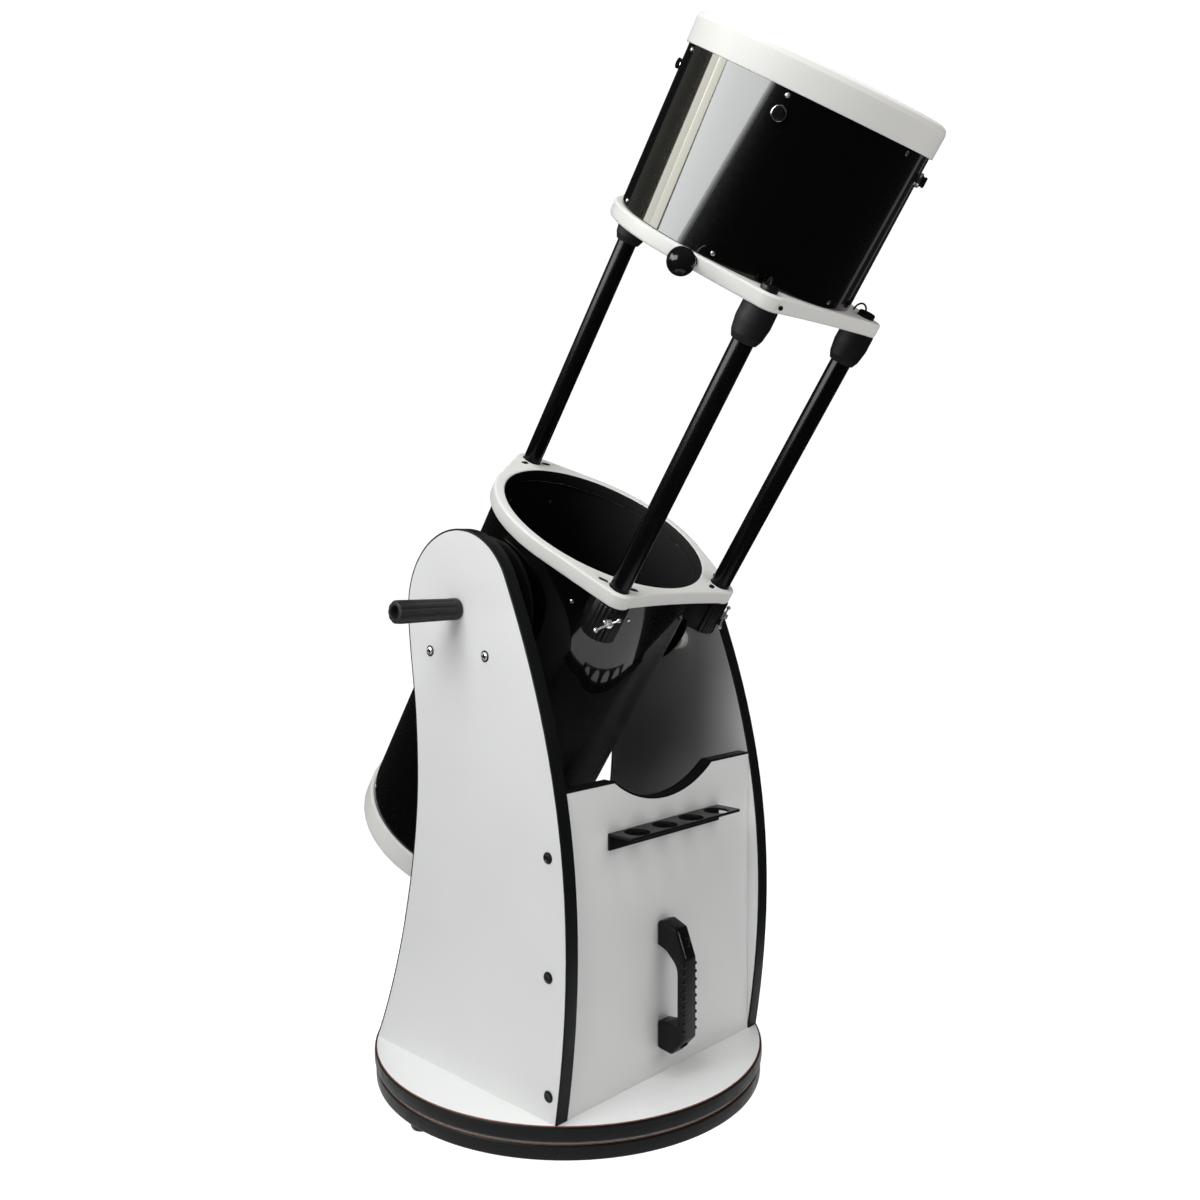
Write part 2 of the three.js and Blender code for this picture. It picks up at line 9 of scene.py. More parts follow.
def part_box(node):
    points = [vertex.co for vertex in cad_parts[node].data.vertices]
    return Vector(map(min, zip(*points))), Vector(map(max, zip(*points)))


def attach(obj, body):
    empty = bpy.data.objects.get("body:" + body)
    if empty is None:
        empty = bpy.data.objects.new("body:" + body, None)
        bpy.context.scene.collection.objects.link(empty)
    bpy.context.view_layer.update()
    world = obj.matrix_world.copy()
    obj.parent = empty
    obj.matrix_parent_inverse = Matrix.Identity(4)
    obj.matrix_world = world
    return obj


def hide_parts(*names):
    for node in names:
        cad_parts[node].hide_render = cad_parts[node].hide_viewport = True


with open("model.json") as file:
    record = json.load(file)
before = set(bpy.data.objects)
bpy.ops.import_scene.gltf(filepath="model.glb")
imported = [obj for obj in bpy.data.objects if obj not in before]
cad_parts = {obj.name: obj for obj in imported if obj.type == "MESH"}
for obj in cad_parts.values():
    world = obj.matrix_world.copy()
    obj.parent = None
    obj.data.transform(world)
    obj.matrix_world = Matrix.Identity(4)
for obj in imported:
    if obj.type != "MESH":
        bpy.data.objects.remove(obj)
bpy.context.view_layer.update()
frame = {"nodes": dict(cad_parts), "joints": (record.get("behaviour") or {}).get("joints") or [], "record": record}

# Shapes below are made in millimetres and brought to the frame's metres when a piece is placed.
MM = 0.001
ROUND = 128  # sides of the tubes and rings
SMALL = 40  # sides of knobs, screws and struts
SHARP = 32  # degrees between two faces beyond which their shared edge stays crisp

BOARD = 18  # thickness of the laminated boards
EDGING = 2.4
TUBE_RADIUS = 144
TUBE_WALL = 1.5
TUBE_INSIDE = TUBE_RADIUS - TUBE_WALL
RING_RADIUS = 152
RING_BORE = 138
SIDES = {"left": -1, "right": 1}
STRUTS = {"top": (0, 165), "left": (-95, -135), "right": (95, -135)}
STRUT_RADIUS = 12.15
LOBE_RADIUS = 20
FOCUSER_ANGLE = 68  # degrees about the tube's axis, where 90 is the tube's upper side
FINDER_ANGLE = 38
GUIDE_KNOB_ANGLE = 204
SPIDER_ANGLES = (30, 120, 210, 300)
TUBE_SCREW_ANGLES = tuple(range(30, 390, 60))
CELL_ANGLES = (90, 210, 330)  # where the mirror cell's spokes and collimation bolts stand
FOCAL_LENGTH = 1200


# ---- places taken from the frame ----
def joint(name):
    return next(j for j in frame["joints"] if j["name"] == name)


TUBE_AXIS = Vector(joint("truss_slide")["axis"]).normalized()
TUBE_CENTRE = Vector(joint("altitude_tilt")["pos_m"]) / MM
TUBE = Matrix.Translation(TUBE_CENTRE) @ Matrix.Rotation(math.acos(TUBE_AXIS.z), 4, "X")


def size(node):
    low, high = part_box(node)
    return low / MM, high / MM


def tube_size(node):
    """A node's lowest and highest corner in the tube's own frame: Z along it, Y to its upper side."""
    back = TUBE.inverted()
    points = [back @ (v.co / MM) for v in frame["nodes"][node].data.vertices]
    return Vector(map(min, zip(*points))), Vector(map(max, zip(*points)))


def stations(node):
    low, high = tube_size(node)
    return low.z, high.z


def polar(radius, degrees):
    return radius * math.cos(math.radians(degrees)), radius * math.sin(math.radians(degrees))


def about(axis, degrees):
    return Matrix.Rotation(math.radians(degrees), 4, axis)


def at(x, y, z):
    return Matrix.Translation((x, y, z))


def strut_angle(name):
    x, y = STRUTS[name]
    return math.degrees(math.atan2(y, x))


# Turns something made about Z so that it points out along X.
OUT = about("Y", 90)


def round_place(degrees, station=0, reach=0):
    """Within the tube's frame, a place turned to an angle about the axis and a reach away from it."""
    return at(0, 0, station) @ about("Z", degrees) @ at(reach, 0, 0)


def round_tube(degrees, station=0, reach=0):
    return TUBE @ round_place(degrees, station, reach)


# ---- materials ----
class Graph:
    """A node tree, with a short call to add a node and feed its inputs with values or outputs."""

    def __init__(self, owner):
        owner.use_nodes = True
        self.tree = owner.node_tree

    def node(self, kind, **inputs):
        made = self.tree.nodes.new("ShaderNode" + kind)
        for key, value in inputs.items():
            self.feed(made, key.replace("_", " "), value)
        return made

    def feed(self, node, key, value):
        if isinstance(value, bpy.types.NodeSocket):
            self.tree.links.new(value, node.inputs[key])
        else:
            node.inputs[key].default_value = value

    def between(self, value, low, high, out_low, out_high):
        keys = {"From_Min": low, "From_Max": high, "To_Min": out_low, "To_Max": out_high}
        return self.node("MapRange", Value=value, **keys).outputs["Result"]


class Surface(Graph):
    """A procedural material, with short calls for what most finishes here need."""

    def __init__(self, name, color, roughness, metallic=0.0, **inputs):
        self.material = bpy.data.materials.new(name)
        super().__init__(self.material)
        self.shader = self.tree.nodes["Principled BSDF"]
        self.set("Base Color", (*color, 1))
        self.set("Roughness", roughness)
        self.set("Metallic", metallic)
        for key, value in inputs.items():
            self.set(key.replace("_", " "), value)
        self.material.diffuse_color = (*color, 1)
        self.place = self.node("TexCoord").outputs["Object"]

    def set(self, key, value):
        self.feed(self.shader, key, value)

    def noise(self, scale, detail=3.0, place=None):
        made = self.node("TexNoise", Vector=place or self.place, Scale=scale, Detail=detail)
        return made.outputs["Fac"]

    def cells(self, scale, output):
        return self.node("TexVoronoi", Vector=self.place, Scale=scale).outputs[output]

    def flakes(self, scale):
        """A random level for each tiny cell."""
        return self.node("SeparateColor", Color=self.cells(scale, "Color")).outputs["Red"]

    def mix(self, factor, first, second):
        made = self.tree.nodes.new("ShaderNodeMix")
        made.data_type = "RGBA"
        self.feed(made, 0, factor)
        self.feed(made, 6, first if isinstance(first, bpy.types.NodeSocket) else (*first, 1))
        self.feed(made, 7, second if isinstance(second, bpy.types.NodeSocket) else (*second, 1))
        return made.outputs[2]

    def bump(self, height, strength, distance):
        made = self.node("Bump", Height=height, Strength=strength, Distance=distance * MM)
        self.set("Normal", made.outputs["Normal"])


def grained(name, color, roughness, metallic=0.0, tint=None, rough=None, grain=None, **inputs):
    """A surface whose colour, roughness and relief each wander with a noise of their own.

    The three start with the noise's scale and detail. Then come two colours for tint, the lowest and highest
    roughness for rough, and a strength and a height in millimetres for grain.
    """
    s = Surface(name, color, roughness, metallic, **inputs)
    if tint:
        scale, detail, first, second = tint
        s.set("Base Color", s.mix(s.noise(scale, detail), first, second))
    if rough:
        scale, detail, low, high = rough
        s.set("Roughness", s.between(s.noise(scale, detail), 0.3, 0.7, low, high))
    if grain:
        scale, detail, strength, height = grain
        s.bump(s.noise(scale, detail), strength, height)
    return s


def shaded(color, share):
    return tuple(c * share for c in color)


LAMINATE_PEBBLE = (1400, 2, 0.12, 0.15)


def laminate_finish():
    """Melamine: a fine pebble, and the faint unevenness of a handled board."""
    color = (0.862, 0.865, 0.861)
    s = grained("laminate", color, 0.42, rough=(18, 5, 0.36, 0.5), grain=LAMINATE_PEBBLE)
    s.set("Base Color", s.mix(s.between(s.noise(6), 0.35, 0.65, 0, 1), shaded(color, 0.98), color))
    return s


def painted_box_shade_finish():
    """The side panels' inner faces with painted shade: white at the front panel, painted greyer deeper in the box
    where it lies in shadow.
    """
    s = grained("box_inside_painted_shade", (0.5, 0.5, 0.5), 0.5, grain=LAMINATE_PEBBLE)
    depth = s.node("SeparateXYZ", Vector=s.place).outputs["Y"]
    start = size("front_panel")[1].y * MM
    # Painted shade: the grey grows from the front panel inwards and stands in for the shadow deep in the box.
    painted_shade = s.between(depth, start - 0.01, start + 0.07, 0, 1)
    s.set("Base Color", s.mix(painted_shade, (0.86, 0.86, 0.86), (0.40, 0.40, 0.405)))
    return s


def core_finish():
    """The particle board's raw rim under the decor sheet."""
    s = grained("board_core", (0.30, 0.10, 0.045), 0.8, grain=(1600, 3, 0.4, 0.3))
    s.set("Base Color", s.mix(s.cells(900, "Distance"), (0.36, 0.13, 0.06), (0.16, 0.05, 0.025)))
    return s


def edging_finish():
    tint = (25, 3, (0.005, 0.0055, 0.006), (0.008, 0.0085, 0.009))
    return grained("edging", (0.006, 0.0065, 0.007), 0.42, tint=tint, rough=(60, 4, 0.36, 0.5),
                   grain=(900, 2, 0.15, 0.2), Specular_IOR_Level=0.12)


def white_casting_finish():
    """Sprayed enamel on an alloy casting: warm white, with a trace of orange peel."""
    tint = (14, 3, (0.785, 0.78, 0.75), (0.81, 0.805, 0.775))
    return grained("white_casting", (0.80, 0.79, 0.76), 0.45, tint=tint, rough=(45, 4, 0.32, 0.42),
                   grain=(420, 1, 0.10, 0.25), Specular_IOR_Level=0.08)


def tube_finish():
    """Black lacquer over fine metal flakes, under a clear gloss coat."""
    coat = {"Coat_Weight": 1.0, "Coat_Roughness": 0.05, "Coat_IOR": 1.45}
    s = Surface("tube_paint", (0.002, 0.002, 0.002), 0.22, Specular_IOR_Level=0.05, **coat)
    shine = s.flakes(1500)
    picked = s.between(shine, 0.88, 0.97, 0, 1)
    s.set("Base Color", s.mix(picked, (0.0012, 0.0012, 0.0011), (0.012, 0.0115, 0.011)))
    s.set("Metallic", picked)
    s.set("Roughness", s.between(shine, 0.8, 1, 0.24, 0.34))
    return s


def inside_finish():
    return grained("inside_black", (0.005, 0.005, 0.0052), 0.72, grain=(1100, 2, 0.25, 0.2),
                   tint=(40, 5, (0.004, 0.004, 0.0042), (0.007, 0.007, 0.0073)), Specular_IOR_Level=0.2)


def plastic_finish(name, color, roughness, grain=1200, depth=0.2):
    """Moulded black plastic or rubber with a spark-eroded grain."""
    rough = (70, 4, roughness - 0.06, roughness + 0.08)
    return grained(name, color, roughness, rough=rough, grain=(grain, 2, depth, 0.2),
                   tint=(55, 4, shaded(color, 0.8), shaded(color, 1.25)), Specular_IOR_Level=0.2)


def strut_finish():
    """Semi-gloss black paint with a trace of fine flake."""
    rough = (12, 3, 0.18, 0.22)
    s = grained("strut_paint", (0.003, 0.003, 0.0035), 0.2, rough=rough, Specular_IOR_Level=0.13)
    picked = s.between(s.flakes(2600), 0.9, 0.97, 0, 1)
    s.set("Base Color", s.mix(picked, (0.0025, 0.0025, 0.003), (0.012, 0.012, 0.013)))
    return s


def metal_finish(name, color, roughness, grain, metallic=0.72):
    return grained(name, color, roughness, metallic, tint=(60, 3, shaded(color, 0.92), color),
                   rough=(grain, 4, roughness * 0.75, roughness * 1.3), grain=(grain * 3, 2, 0.05, 0.1))


def brushed_finish():
    s = Surface("steel", (0.50, 0.50, 0.51), 0.3, 1.0)
    along = s.node("Mapping", Vector=s.place, Scale=(1, 1, 30)).outputs["Vector"]
    lines = s.noise(60, 4, along)
    s.set("Roughness", s.between(lines, 0.3, 0.7, 0.22, 0.42))
    s.bump(lines, 0.1, 0.1)
    return s


def nylon_finish():
    return grained("nylon", (0.72, 0.70, 0.65), 0.42, grain=(800, 2, 0.1, 0.2),
                   tint=(50, 4, (0.68, 0.66, 0.61), (0.75, 0.735, 0.69)))


def mirror_finish():
    """Aluminised glass with a breath of dust."""
    s = Surface("mirror_glass", (0.88, 0.89, 0.90), 0.02, 1.0)
    s.set("Roughness", s.between(s.noise(700, 5), 0.55, 0.8, 0.012, 0.16))
    return s


def glass_edge_finish():
    """The mirror blank's ground side and back."""
    return grained("glass_edge", (0.30, 0.36, 0.34), 0.35, grain=(1500, 2, 0.2, 0.1),
                   tint=(30, 3, (0.27, 0.33, 0.31), (0.33, 0.39, 0.37)))


MATERIALS = {
    "laminate": laminate_finish(),
    "box_inside_painted_shade": painted_box_shade_finish(),
    "core": core_finish(),
    "edging": edging_finish(),
    "white_casting": white_casting_finish(),
    "tube_paint": tube_finish(),
    "inside": inside_finish(),
    "black_plastic": plastic_finish("black_plastic", (0.005, 0.005, 0.0055), 0.36),
    "rubber": plastic_finish("rubber", (0.006, 0.0063, 0.0066), 0.62, 900, 0.35),
    "black_casting": plastic_finish("black_casting", (0.0035, 0.0035, 0.0037), 0.4, 500, 0.4),
    "handle_grip": plastic_finish("handle_grip", (0.022, 0.022, 0.024), 0.5),
    "gloss_ball": plastic_finish("gloss_ball", (0.006, 0.006, 0.0065), 0.12, 700, 0.03),
    "strut_paint": strut_finish(),
    "chrome": metal_finish("chrome", (0.80, 0.80, 0.81), 0.12, 90),
    "dark_chrome": metal_finish("dark_chrome", (0.5, 0.5, 0.51), 0.15, 90, 0.97),
    "nylon": nylon_finish(),
    "mirror_glass": mirror_finish(),
    "glass_edge": glass_edge_finish(),
    "steel": brushed_finish(),
}


# ---- mesh tools ----
def arc(centre, radius, start, end, steps):
    """Points of an arc from one angle to another, in degrees."""
    cx, cy = centre
    turns = [start + (end - start) * i / steps for i in range(steps + 1)]
    return [(cx + x, cy + y) for x, y in (polar(radius, a) for a in turns)]


def distinct(points, closed=True):
    """The points without those that lie on the one before."""
    points = [Vector(p) for p in points]
    kept = points[:1] + [b for a, b in zip(points, points[1:]) if (b - a).length > 0.01]
    if closed and (kept[0] - kept[-1]).length < 0.01:
        kept.pop()
    return kept


def eased(points, radius, steps=4, closed=True):
    """A line of (x, y) points with its corners rounded; a third number is that corner's own radius."""
    made = []
    count = len(points)
    for i, point in enumerate(points):
        here = Vector(point[:2])
        wanted = point[2] if len(point) > 2 else radius
        if wanted <= 0 or (not closed and i in (0, count - 1)):
            made.append(here)
            continue
        before = Vector(points[i - 1][:2]) - here
        after = Vector(points[(i + 1) % count][:2]) - here
        half = before.angle(after) / 2
        if half > math.radians(88):
            made.append(here)
            continue
        reach = min(wanted / math.tan(half), before.length * 0.48, after.length * 0.48)
        start = here + before.normalized() * reach
        end = here + after.normalized() * reach
        for k in range(steps + 1):
            t = k / steps
            made.append(start * (1 - t) ** 2 + here * 2 * t * (1 - t) + end * t ** 2)
    return made


def join_rings(bm, rings, closed=False):
    """Faces from each ring of vertices to the next. A ring of one vertex is a pole."""
    for low, high in zip(rings, rings[1:] + rings[:1] if closed else rings[1:]):
        count = max(len(low), len(high))
        for k in range(count):
            n = (k + 1) % count
            corners = [low[k % len(low)], low[n % len(low)], high[n % len(high)], high[k % len(high)]]
            bm.faces.new(list(dict.fromkeys(corners)))


def lathe(profile, sides=SMALL):
    """A profile of (radius, height), running up its outer side, turned about Z and closed."""
    bm = bmesh.new()
    points = distinct(profile)
    open_ended = points[0].x < 0.01 and points[-1].x < 0.01
    rings = []
    for r, z in points:
        if r < 0.01:
            rings.append([bm.verts.new((0, 0, z))])
        else:
            rings.append([bm.verts.new((*polar(r, 360 * k / sides), z)) for k in range(sides)])
    join_rings(bm, rings, closed=not open_ended)
    return bm


def turned(corners, ease, steps, sides=SMALL, closed=True):
    """A lathe shape with eased corners."""
    return lathe(eased(corners, ease, steps, closed), sides)


def hoop(inner, outer, low, high, ease=0.0, sides=ROUND):
    return turned([(outer, low), (outer, high), (inner, high), (inner, low)], ease, 3, sides)


def rod(radius, low, high, ease=0.0, sides=SMALL):
    return turned([(0, low), (radius, low), (radius, high), (0, high)], ease, 3, sides, closed=False)


SMALL_HOLE_GIRTH = 200
SMALL_HOLE_SHARE = 0.2  # how much of a plate's edge rounding its small holes get


def signed_area(points):
    return sum(a.x * b.y - b.x * a.y for a, b in zip(points, points[1:] + points[:1])) / 2


def edge_round(low, high, ease, steps):
    """A plate's edge with both arrises rounded, as (inset, height) points."""
    return arc((ease, low + ease), ease, 270, 180, steps) + arc((ease, high - ease), ease, 180, 90, steps)


def slab(outline, low, high, ease=0.0, holes=(), steps=3):
    """A plate with rounded edges and crisp small holes."""
    section = edge_round(low, high, ease, steps) if ease > 0 else [(0, low), (0, high)]
    loops = []
    for i, line in enumerate([outline, *holes]):
        points = distinct(line)
        wanted = 1 if i == 0 else -1
        loops.append(points if signed_area(points) * wanted > 0 else points[::-1])
    bm = bmesh.new()
    rows = []
    for i, points in enumerate(loops):
        count = len(points)
        girth = sum((b - a).length for a, b in zip(points, points[1:]))
        share = SMALL_HOLE_SHARE if i > 0 and girth < SMALL_HOLE_GIRTH else 1
        normals = []
        for k in range(count):
            after, before = points[(k + 1) % count] - points[k], points[k] - points[k - 1]
            along = (after.normalized() + before.normalized()).normalized()
            normals.append(Vector((-along.y, along.x)))
        grid = []
        for inset, z in section:
            ring = [p + n * inset * share for p, n in zip(points, normals)]
            grid.append([bm.verts.new((p.x, p.y, z)) for p in ring])
        rows.append(grid)
        join_rings(bm, grid)
    for end, flip in ((0, True), (-1, False)):
        verts = [v for grid in rows for v in grid[end]]
        flat = [[Vector((v.co.x, v.co.y, 0)) for v in grid[end]] for grid in rows]
        for triangle in geometry.tessellate_polygon(flat):
            corners = [verts[i] for i in triangle]
            bm.faces.new(corners[::-1] if flip else corners)
    return bm


def circle(x, y, radius, sides=SMALL):
    return [(x + dx, y + dy) for dx, dy in (polar(radius, 360 * k / sides) for k in range(sides))]


def oblong(x, y, length, width, degrees, steps=8):
    """A slot with round ends, its length turned by an angle."""
    reach = (length - width) / 2
    line = arc((reach, 0), width / 2, -90, 90, steps) + arc((-reach, 0), width / 2, 90, 270, steps)
    turn = Matrix.Rotation(math.radians(degrees), 2)
    return [Vector((x, y)) + turn @ Vector(p) for p in line]


def block(low, high, ease=0.6):
    outline = eased([(low[0], low[1]), (high[0], low[1]), (high[0], high[1]), (low[0], high[1])], ease, 3)
    return slab(outline, low[2], high[2], ease)


def ribbon(line, section):
    """A section of (outward, across) points drawn along an open (y, z) line, its across running along X."""
    bm = bmesh.new()
    points = distinct(line, closed=False)
    rows = []
    for i, point in enumerate(points):
        along = (points[min(i + 1, len(points) - 1)] - points[max(i - 1, 0)]).normalized()
        out = Vector((-along.y, along.x))
        spots = [point + out * d for d, _ in section]
        rows.append([bm.verts.new((w, p.x, p.y)) for p, (_, w) in zip(spots, section)])
    join_rings(bm, rows)
    bm.faces.new(rows[0])
    bm.faces.new(rows[-1][::-1])
    return bm


def sweep(path, section):
    """A closed section carried along a path of 3-D points, kept square to it."""
    bm = bmesh.new()
    rows = []
    path = [Vector(p) for p in path]
    side = None
    for i, point in enumerate(path):
        along = (path[min(i + 1, len(path) - 1)] - path[max(i - 1, 0)]).normalized()
        if side is None:
            side = along.orthogonal().normalized()
        side = (side - along * side.dot(along)).normalized()
        up = along.cross(side)
        rows.append([bm.verts.new(point + side * x + up * y) for x, y in section])
    join_rings(bm, rows)
    bm.faces.new(rows[0][::-1])
    bm.faces.new(rows[-1])
    return bm


def fluted(profile, flutes, depth, sides_per_flute=10):
    """A lathe shape whose skin dips between its flutes; profile points are (radius, height, depth share)."""
    sides = flutes * sides_per_flute
    bm = bmesh.new()
    rows = []
    for r, z, share in profile:
        if r < 0.01:
            rows.append([bm.verts.new((0, 0, z))])
            continue
        ring = []
        for k in range(sides):
            wave = abs(math.sin(math.pi * k / sides_per_flute)) ** 0.6
            reach = r - depth * share * (1 - wave)
            ring.append(bm.verts.new((*polar(reach, 360 * k / sides), z)))
        rows.append(ring)
    join_rings(bm, rows)
    return bm


def moved(bm, matrix):
    bm.transform(matrix)
    return bm


def mesh_from(bm, name):
    mesh = bpy.data.meshes.new(name)
    bm.to_mesh(mesh)
    bm.free()
    return mesh


def linked(name, data):
    made = bpy.data.objects.new(name, data)
    bpy.context.scene.collection.objects.link(made)
    return made


def together(*parts):
    """Several closed shapes in one mesh."""
    whole = bmesh.new()
    for part in parts:
        mesh = mesh_from(part, "part")
        whole.from_mesh(mesh)
        bpy.data.meshes.remove(mesh)
    return whole


def copies(make, places):
    """The same shape made again at each of several places, as one mesh."""
    return together(*(moved(make(), place) for place in places))


def object_of(bm, name):
    bmesh.ops.remove_doubles(bm, verts=bm.verts, dist=0.002)
    bmesh.ops.recalc_face_normals(bm, faces=bm.faces)
    return linked(name, mesh_from(bm, name))


def combined(first, operation, *others):
    """The first shape cut by, or joined with, the others, as one clean mesh."""
    base = object_of(first, "base")
    for other in others:
        tool = object_of(other, "tool")
        modifier = base.modifiers.new("combine", "BOOLEAN")
        modifier.operation = operation
        modifier.solver = "EXACT"
        modifier.object = tool
        bpy.context.view_layer.update()
        seen = base.evaluated_get(bpy.context.evaluated_depsgraph_get())
        mesh = bpy.data.meshes.new_from_object(seen)
        base.modifiers.clear()
        old, base.data = base.data, mesh
        bpy.data.meshes.remove(old)
        bpy.data.objects.remove(tool)
    bm = bmesh.new()
    bm.from_mesh(base.data)
    bpy.data.objects.remove(base)
    bmesh.ops.dissolve_degenerate(bm, edges=bm.edges, dist=0.001)
    return bm


def carve(first, *cutters):
    return combined(first, "DIFFERENCE", *cutters)


def fuse(first, *others):
    return combined(first, "UNION", *others)


def piece(name, bm, body, slot, place=None, replaces=(), material=None):
    """Places a shape, in millimetres, as a named piece of the object that rides on a body."""
    bm.transform(Matrix.Scale(MM, 4) @ (place or Matrix.Identity(4)))
    bmesh.ops.remove_doubles(bm, verts=bm.verts, dist=0.002 * MM)
    bmesh.ops.recalc_face_normals(bm, faces=bm.faces)
    for face in bm.faces:
        face.smooth = True
    for edge in bm.edges:
        edge.smooth = edge.calc_face_angle(0) < math.radians(SHARP)
    made = linked(name, mesh_from(bm, name))
    made.data.materials.append(MATERIALS[material or slot].material)
    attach(made, body)
    if replaces:
        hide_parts(*replaces)
    return made


def fine(node, bm, body, slot, place=None, material=None):
    """The detailed version of a CAD node, in whose stead it is shown."""
    return piece(node + "_fine", bm, body, slot, place, [node], material)


def second_material(made, key, test):
    """Gives the faces whose centre (in millimetres) passes a test another of the materials."""
    made.data.materials.append(MATERIALS[key].material)
    for polygon in made.data.polygons:
        if test(polygon.center / MM, polygon.normal):
            polygon.material_index = 1


# ---- ground board and turntable ----
def make_round_board(name, body):
    low, high = size(name)
    rim = size(name + "_edging")[1].x
    board_rim = rim - EDGING
    bore = 5.3
    arris = 0.9  # the strip of raw board left showing between decor sheet and edging
    decor_rim = board_rim - arris
    profile = [(bore, low.z), (decor_rim, low.z), (board_rim, low.z + arris)]
    profile += [(board_rim, high.z - arris), (decor_rim, high.z), (bore, high.z)]
    board = fine(name, lathe(profile, ROUND), body, "laminate")
    second_material(board, "core", lambda c, n: math.hypot(c.x, c.y) > decor_rim - 0.1)
    bulge = [(board_rim + 0.05, low.z + 0.3), (rim - 1.1, low.z + 0.2), (rim - 0.35, low.z + 2.4)]
    bulge += [(rim, low.z + BOARD / 2), (rim - 0.35, high.z - 2.4), (rim - 1.1, high.z - 0.5)]
    bulge += [(board_rim + 0.05, high.z - 0.5)]
    strip = turned(bulge, 2.2, 4, ROUND)
    fine(name + "_edging", strip, body, "edging")


def make_feet():
    for index in (1, 2, 3):
        node = f"foot_{index}"
        low, high = size(node)
        profile = [(0, 0), (12.5, 0, 1.5), (14, 3, 1), (14.5, 6), (16.5, 12), (16.5, high.z), (0, high.z)]
        place = at((low.x + high.x) / 2, (low.y + high.y) / 2, 0)
        fine(node, turned(profile, 0.8, 3, closed=False), "ground", "black_plastic", place)


# ---- rocker box ----
TURNTABLE_TOP = size("turntable_board")[1].z
PANEL_OUTER = size("side_panel_right")[1].x
PANEL_INNER = PANEL_OUTER - BOARD
FRONT_FACE = size("front_panel")[0].y
FRONT_TOP = size("front_panel")[1].z
PANEL_ARC = 95
FRONT_FOOT = (-168.5, TURNTABLE_TOP)
FRONT_PULLS = ((-206.6, 289.5), (-184.6, 467))
BACK_WAIST = (78.5, 430)
BACK_FOOT = (169, TURNTABLE_TOP)
AXIS_HOLE = 9  # radius of the side panels' hole for the tension handle
PANEL_GAP = 0.3  # between the front panel's ends and the side panels
SKIN = 0.02  # how far a small thing stands off the face it sits on
CONTACT = 0.1  # the same for what is fixed to the front panel, and for edging that ends on the turntable


def bezier(start, pull_a, pull_b, end, steps=24):
    return geometry.interpolate_bezier(*(Vector(p) for p in (start, pull_a, pull_b, end)), steps + 1)


def side_panel_edge():
    """The side panel's edge as (y, z) points: front foot, bowed front, round top, waisted back, back foot."""
    round_top = arc((0, TUBE_CENTRE.z), PANEL_ARC, 155, 0, 40)
    front = bezier(FRONT_FOOT, *FRONT_PULLS, round_top[0])
    shoulder = bezier((PANEL_ARC, TUBE_CENTRE.z), (95, 575), (78.5, 540), BACK_WAIST, 16)
    skirt = bezier(BACK_WAIST, (78.5, 319), (117.7, 164.6), BACK_FOOT)
    return [tuple(p) for p in [*front, *round_top[1:], *shoulder, *skirt[1:]]]


# Stands something drawn flat so that its own X and Y run along Y and Z, and its thickness along X.
STANDING = Matrix(((0, 0, 1, 0), (1, 0, 0, 0), (0, 1, 0, 0), (0, 0, 0, 1)))
# The same for the front panel: drawn X stays X, drawn Y stands up as Z, thickness runs towards -Y.
FACING = about("X", 90)


def edge_section(thickness, width):
    """The edge strip's section: flat against the board, rounded outside."""
    corners = [(0.1, 0, 0.1), (thickness, 0), (thickness, width), (0.1, width, 0.1)]
    return [tuple(p) for p in eased(corners, 1.1, 4)]


def make_side_panels():
    line = side_panel_edge()
    for name, side in SIDES.items():
        low = PANEL_INNER if side > 0 else -PANEL_OUTER
        board = slab(line, low, low + BOARD, 0.25, [circle(0, TUBE_CENTRE.z, AXIS_HOLE)], 1)
        made = fine(f"side_panel_{name}", board, "rocker", "laminate", STANDING)
        # The inner faces take the painted shade that greys them deeper in the box.
        second_material(made, "box_inside_painted_shade", lambda centre, normal: normal.x * side < -0.9)
        strip = ribbon(line, edge_section(EDGING, BOARD))
        for vert in strip.verts:
            vert.co.z = max(vert.co.z, TURNTABLE_TOP + CONTACT)
        fine(f"side_edging_{name}", strip, "rocker", "edging", at(low, 0, 0))


def front_top_line():
    """The front panel's upper edge with its round scoop."""
    half_width, radius = 92, 152
    reach = PANEL_INNER - PANEL_GAP
    half = math.degrees(math.asin(half_width / radius))
    rise = math.sqrt(radius ** 2 - half_width ** 2)
    scoop = arc((0, FRONT_TOP + rise), radius, 270 - half, 270 + half, 40)
    return [(-reach, FRONT_TOP), *scoop, (reach, FRONT_TOP)]


def make_front_panel():
    line = front_top_line()
    reach = PANEL_INNER - PANEL_GAP
    board = slab([*line, (reach, TURNTABLE_TOP), (-reach, TURNTABLE_TOP)], 0, BOARD, 0.25, steps=1)
    fine("front_panel", board, "rocker", "laminate", at(0, FRONT_FACE + BOARD, 0) @ FACING)
    strip = ribbon(line, edge_section(EDGING, BOARD))
    swap = Matrix(((0, 1, 0, 0), (1, 0, 0, 0), (0, 0, 1, 0), (0, 0, 0, 1)))
    fine("front_panel_edging", strip, "rocker", "edging", at(0, FRONT_FACE, 0) @ swap)


def make_eyepiece_rack():
    """A folded black sheet: a shelf with four round holes, and a flange screwed to the panel."""
    low, high = size("eyepiece_rack")
    sheet = 3
    back = FRONT_FACE - CONTACT
    outline = eased([(low.x, low.y, 4), (high.x, low.y, 4), (high.x, back), (low.x, back)], 0, 5)
    holes = [circle(x, back - 20, 16) for x in (-75, -25, 25, 75)]
    shelf = slab(outline, high.z - sheet, high.z, 0.5, holes)
    flange = block((low.x, back - sheet, low.z), (high.x, back, high.z - sheet - SKIN), 0.4)
    fine("eyepiece_rack", together(shelf, flange), "rocker", "black_plastic")


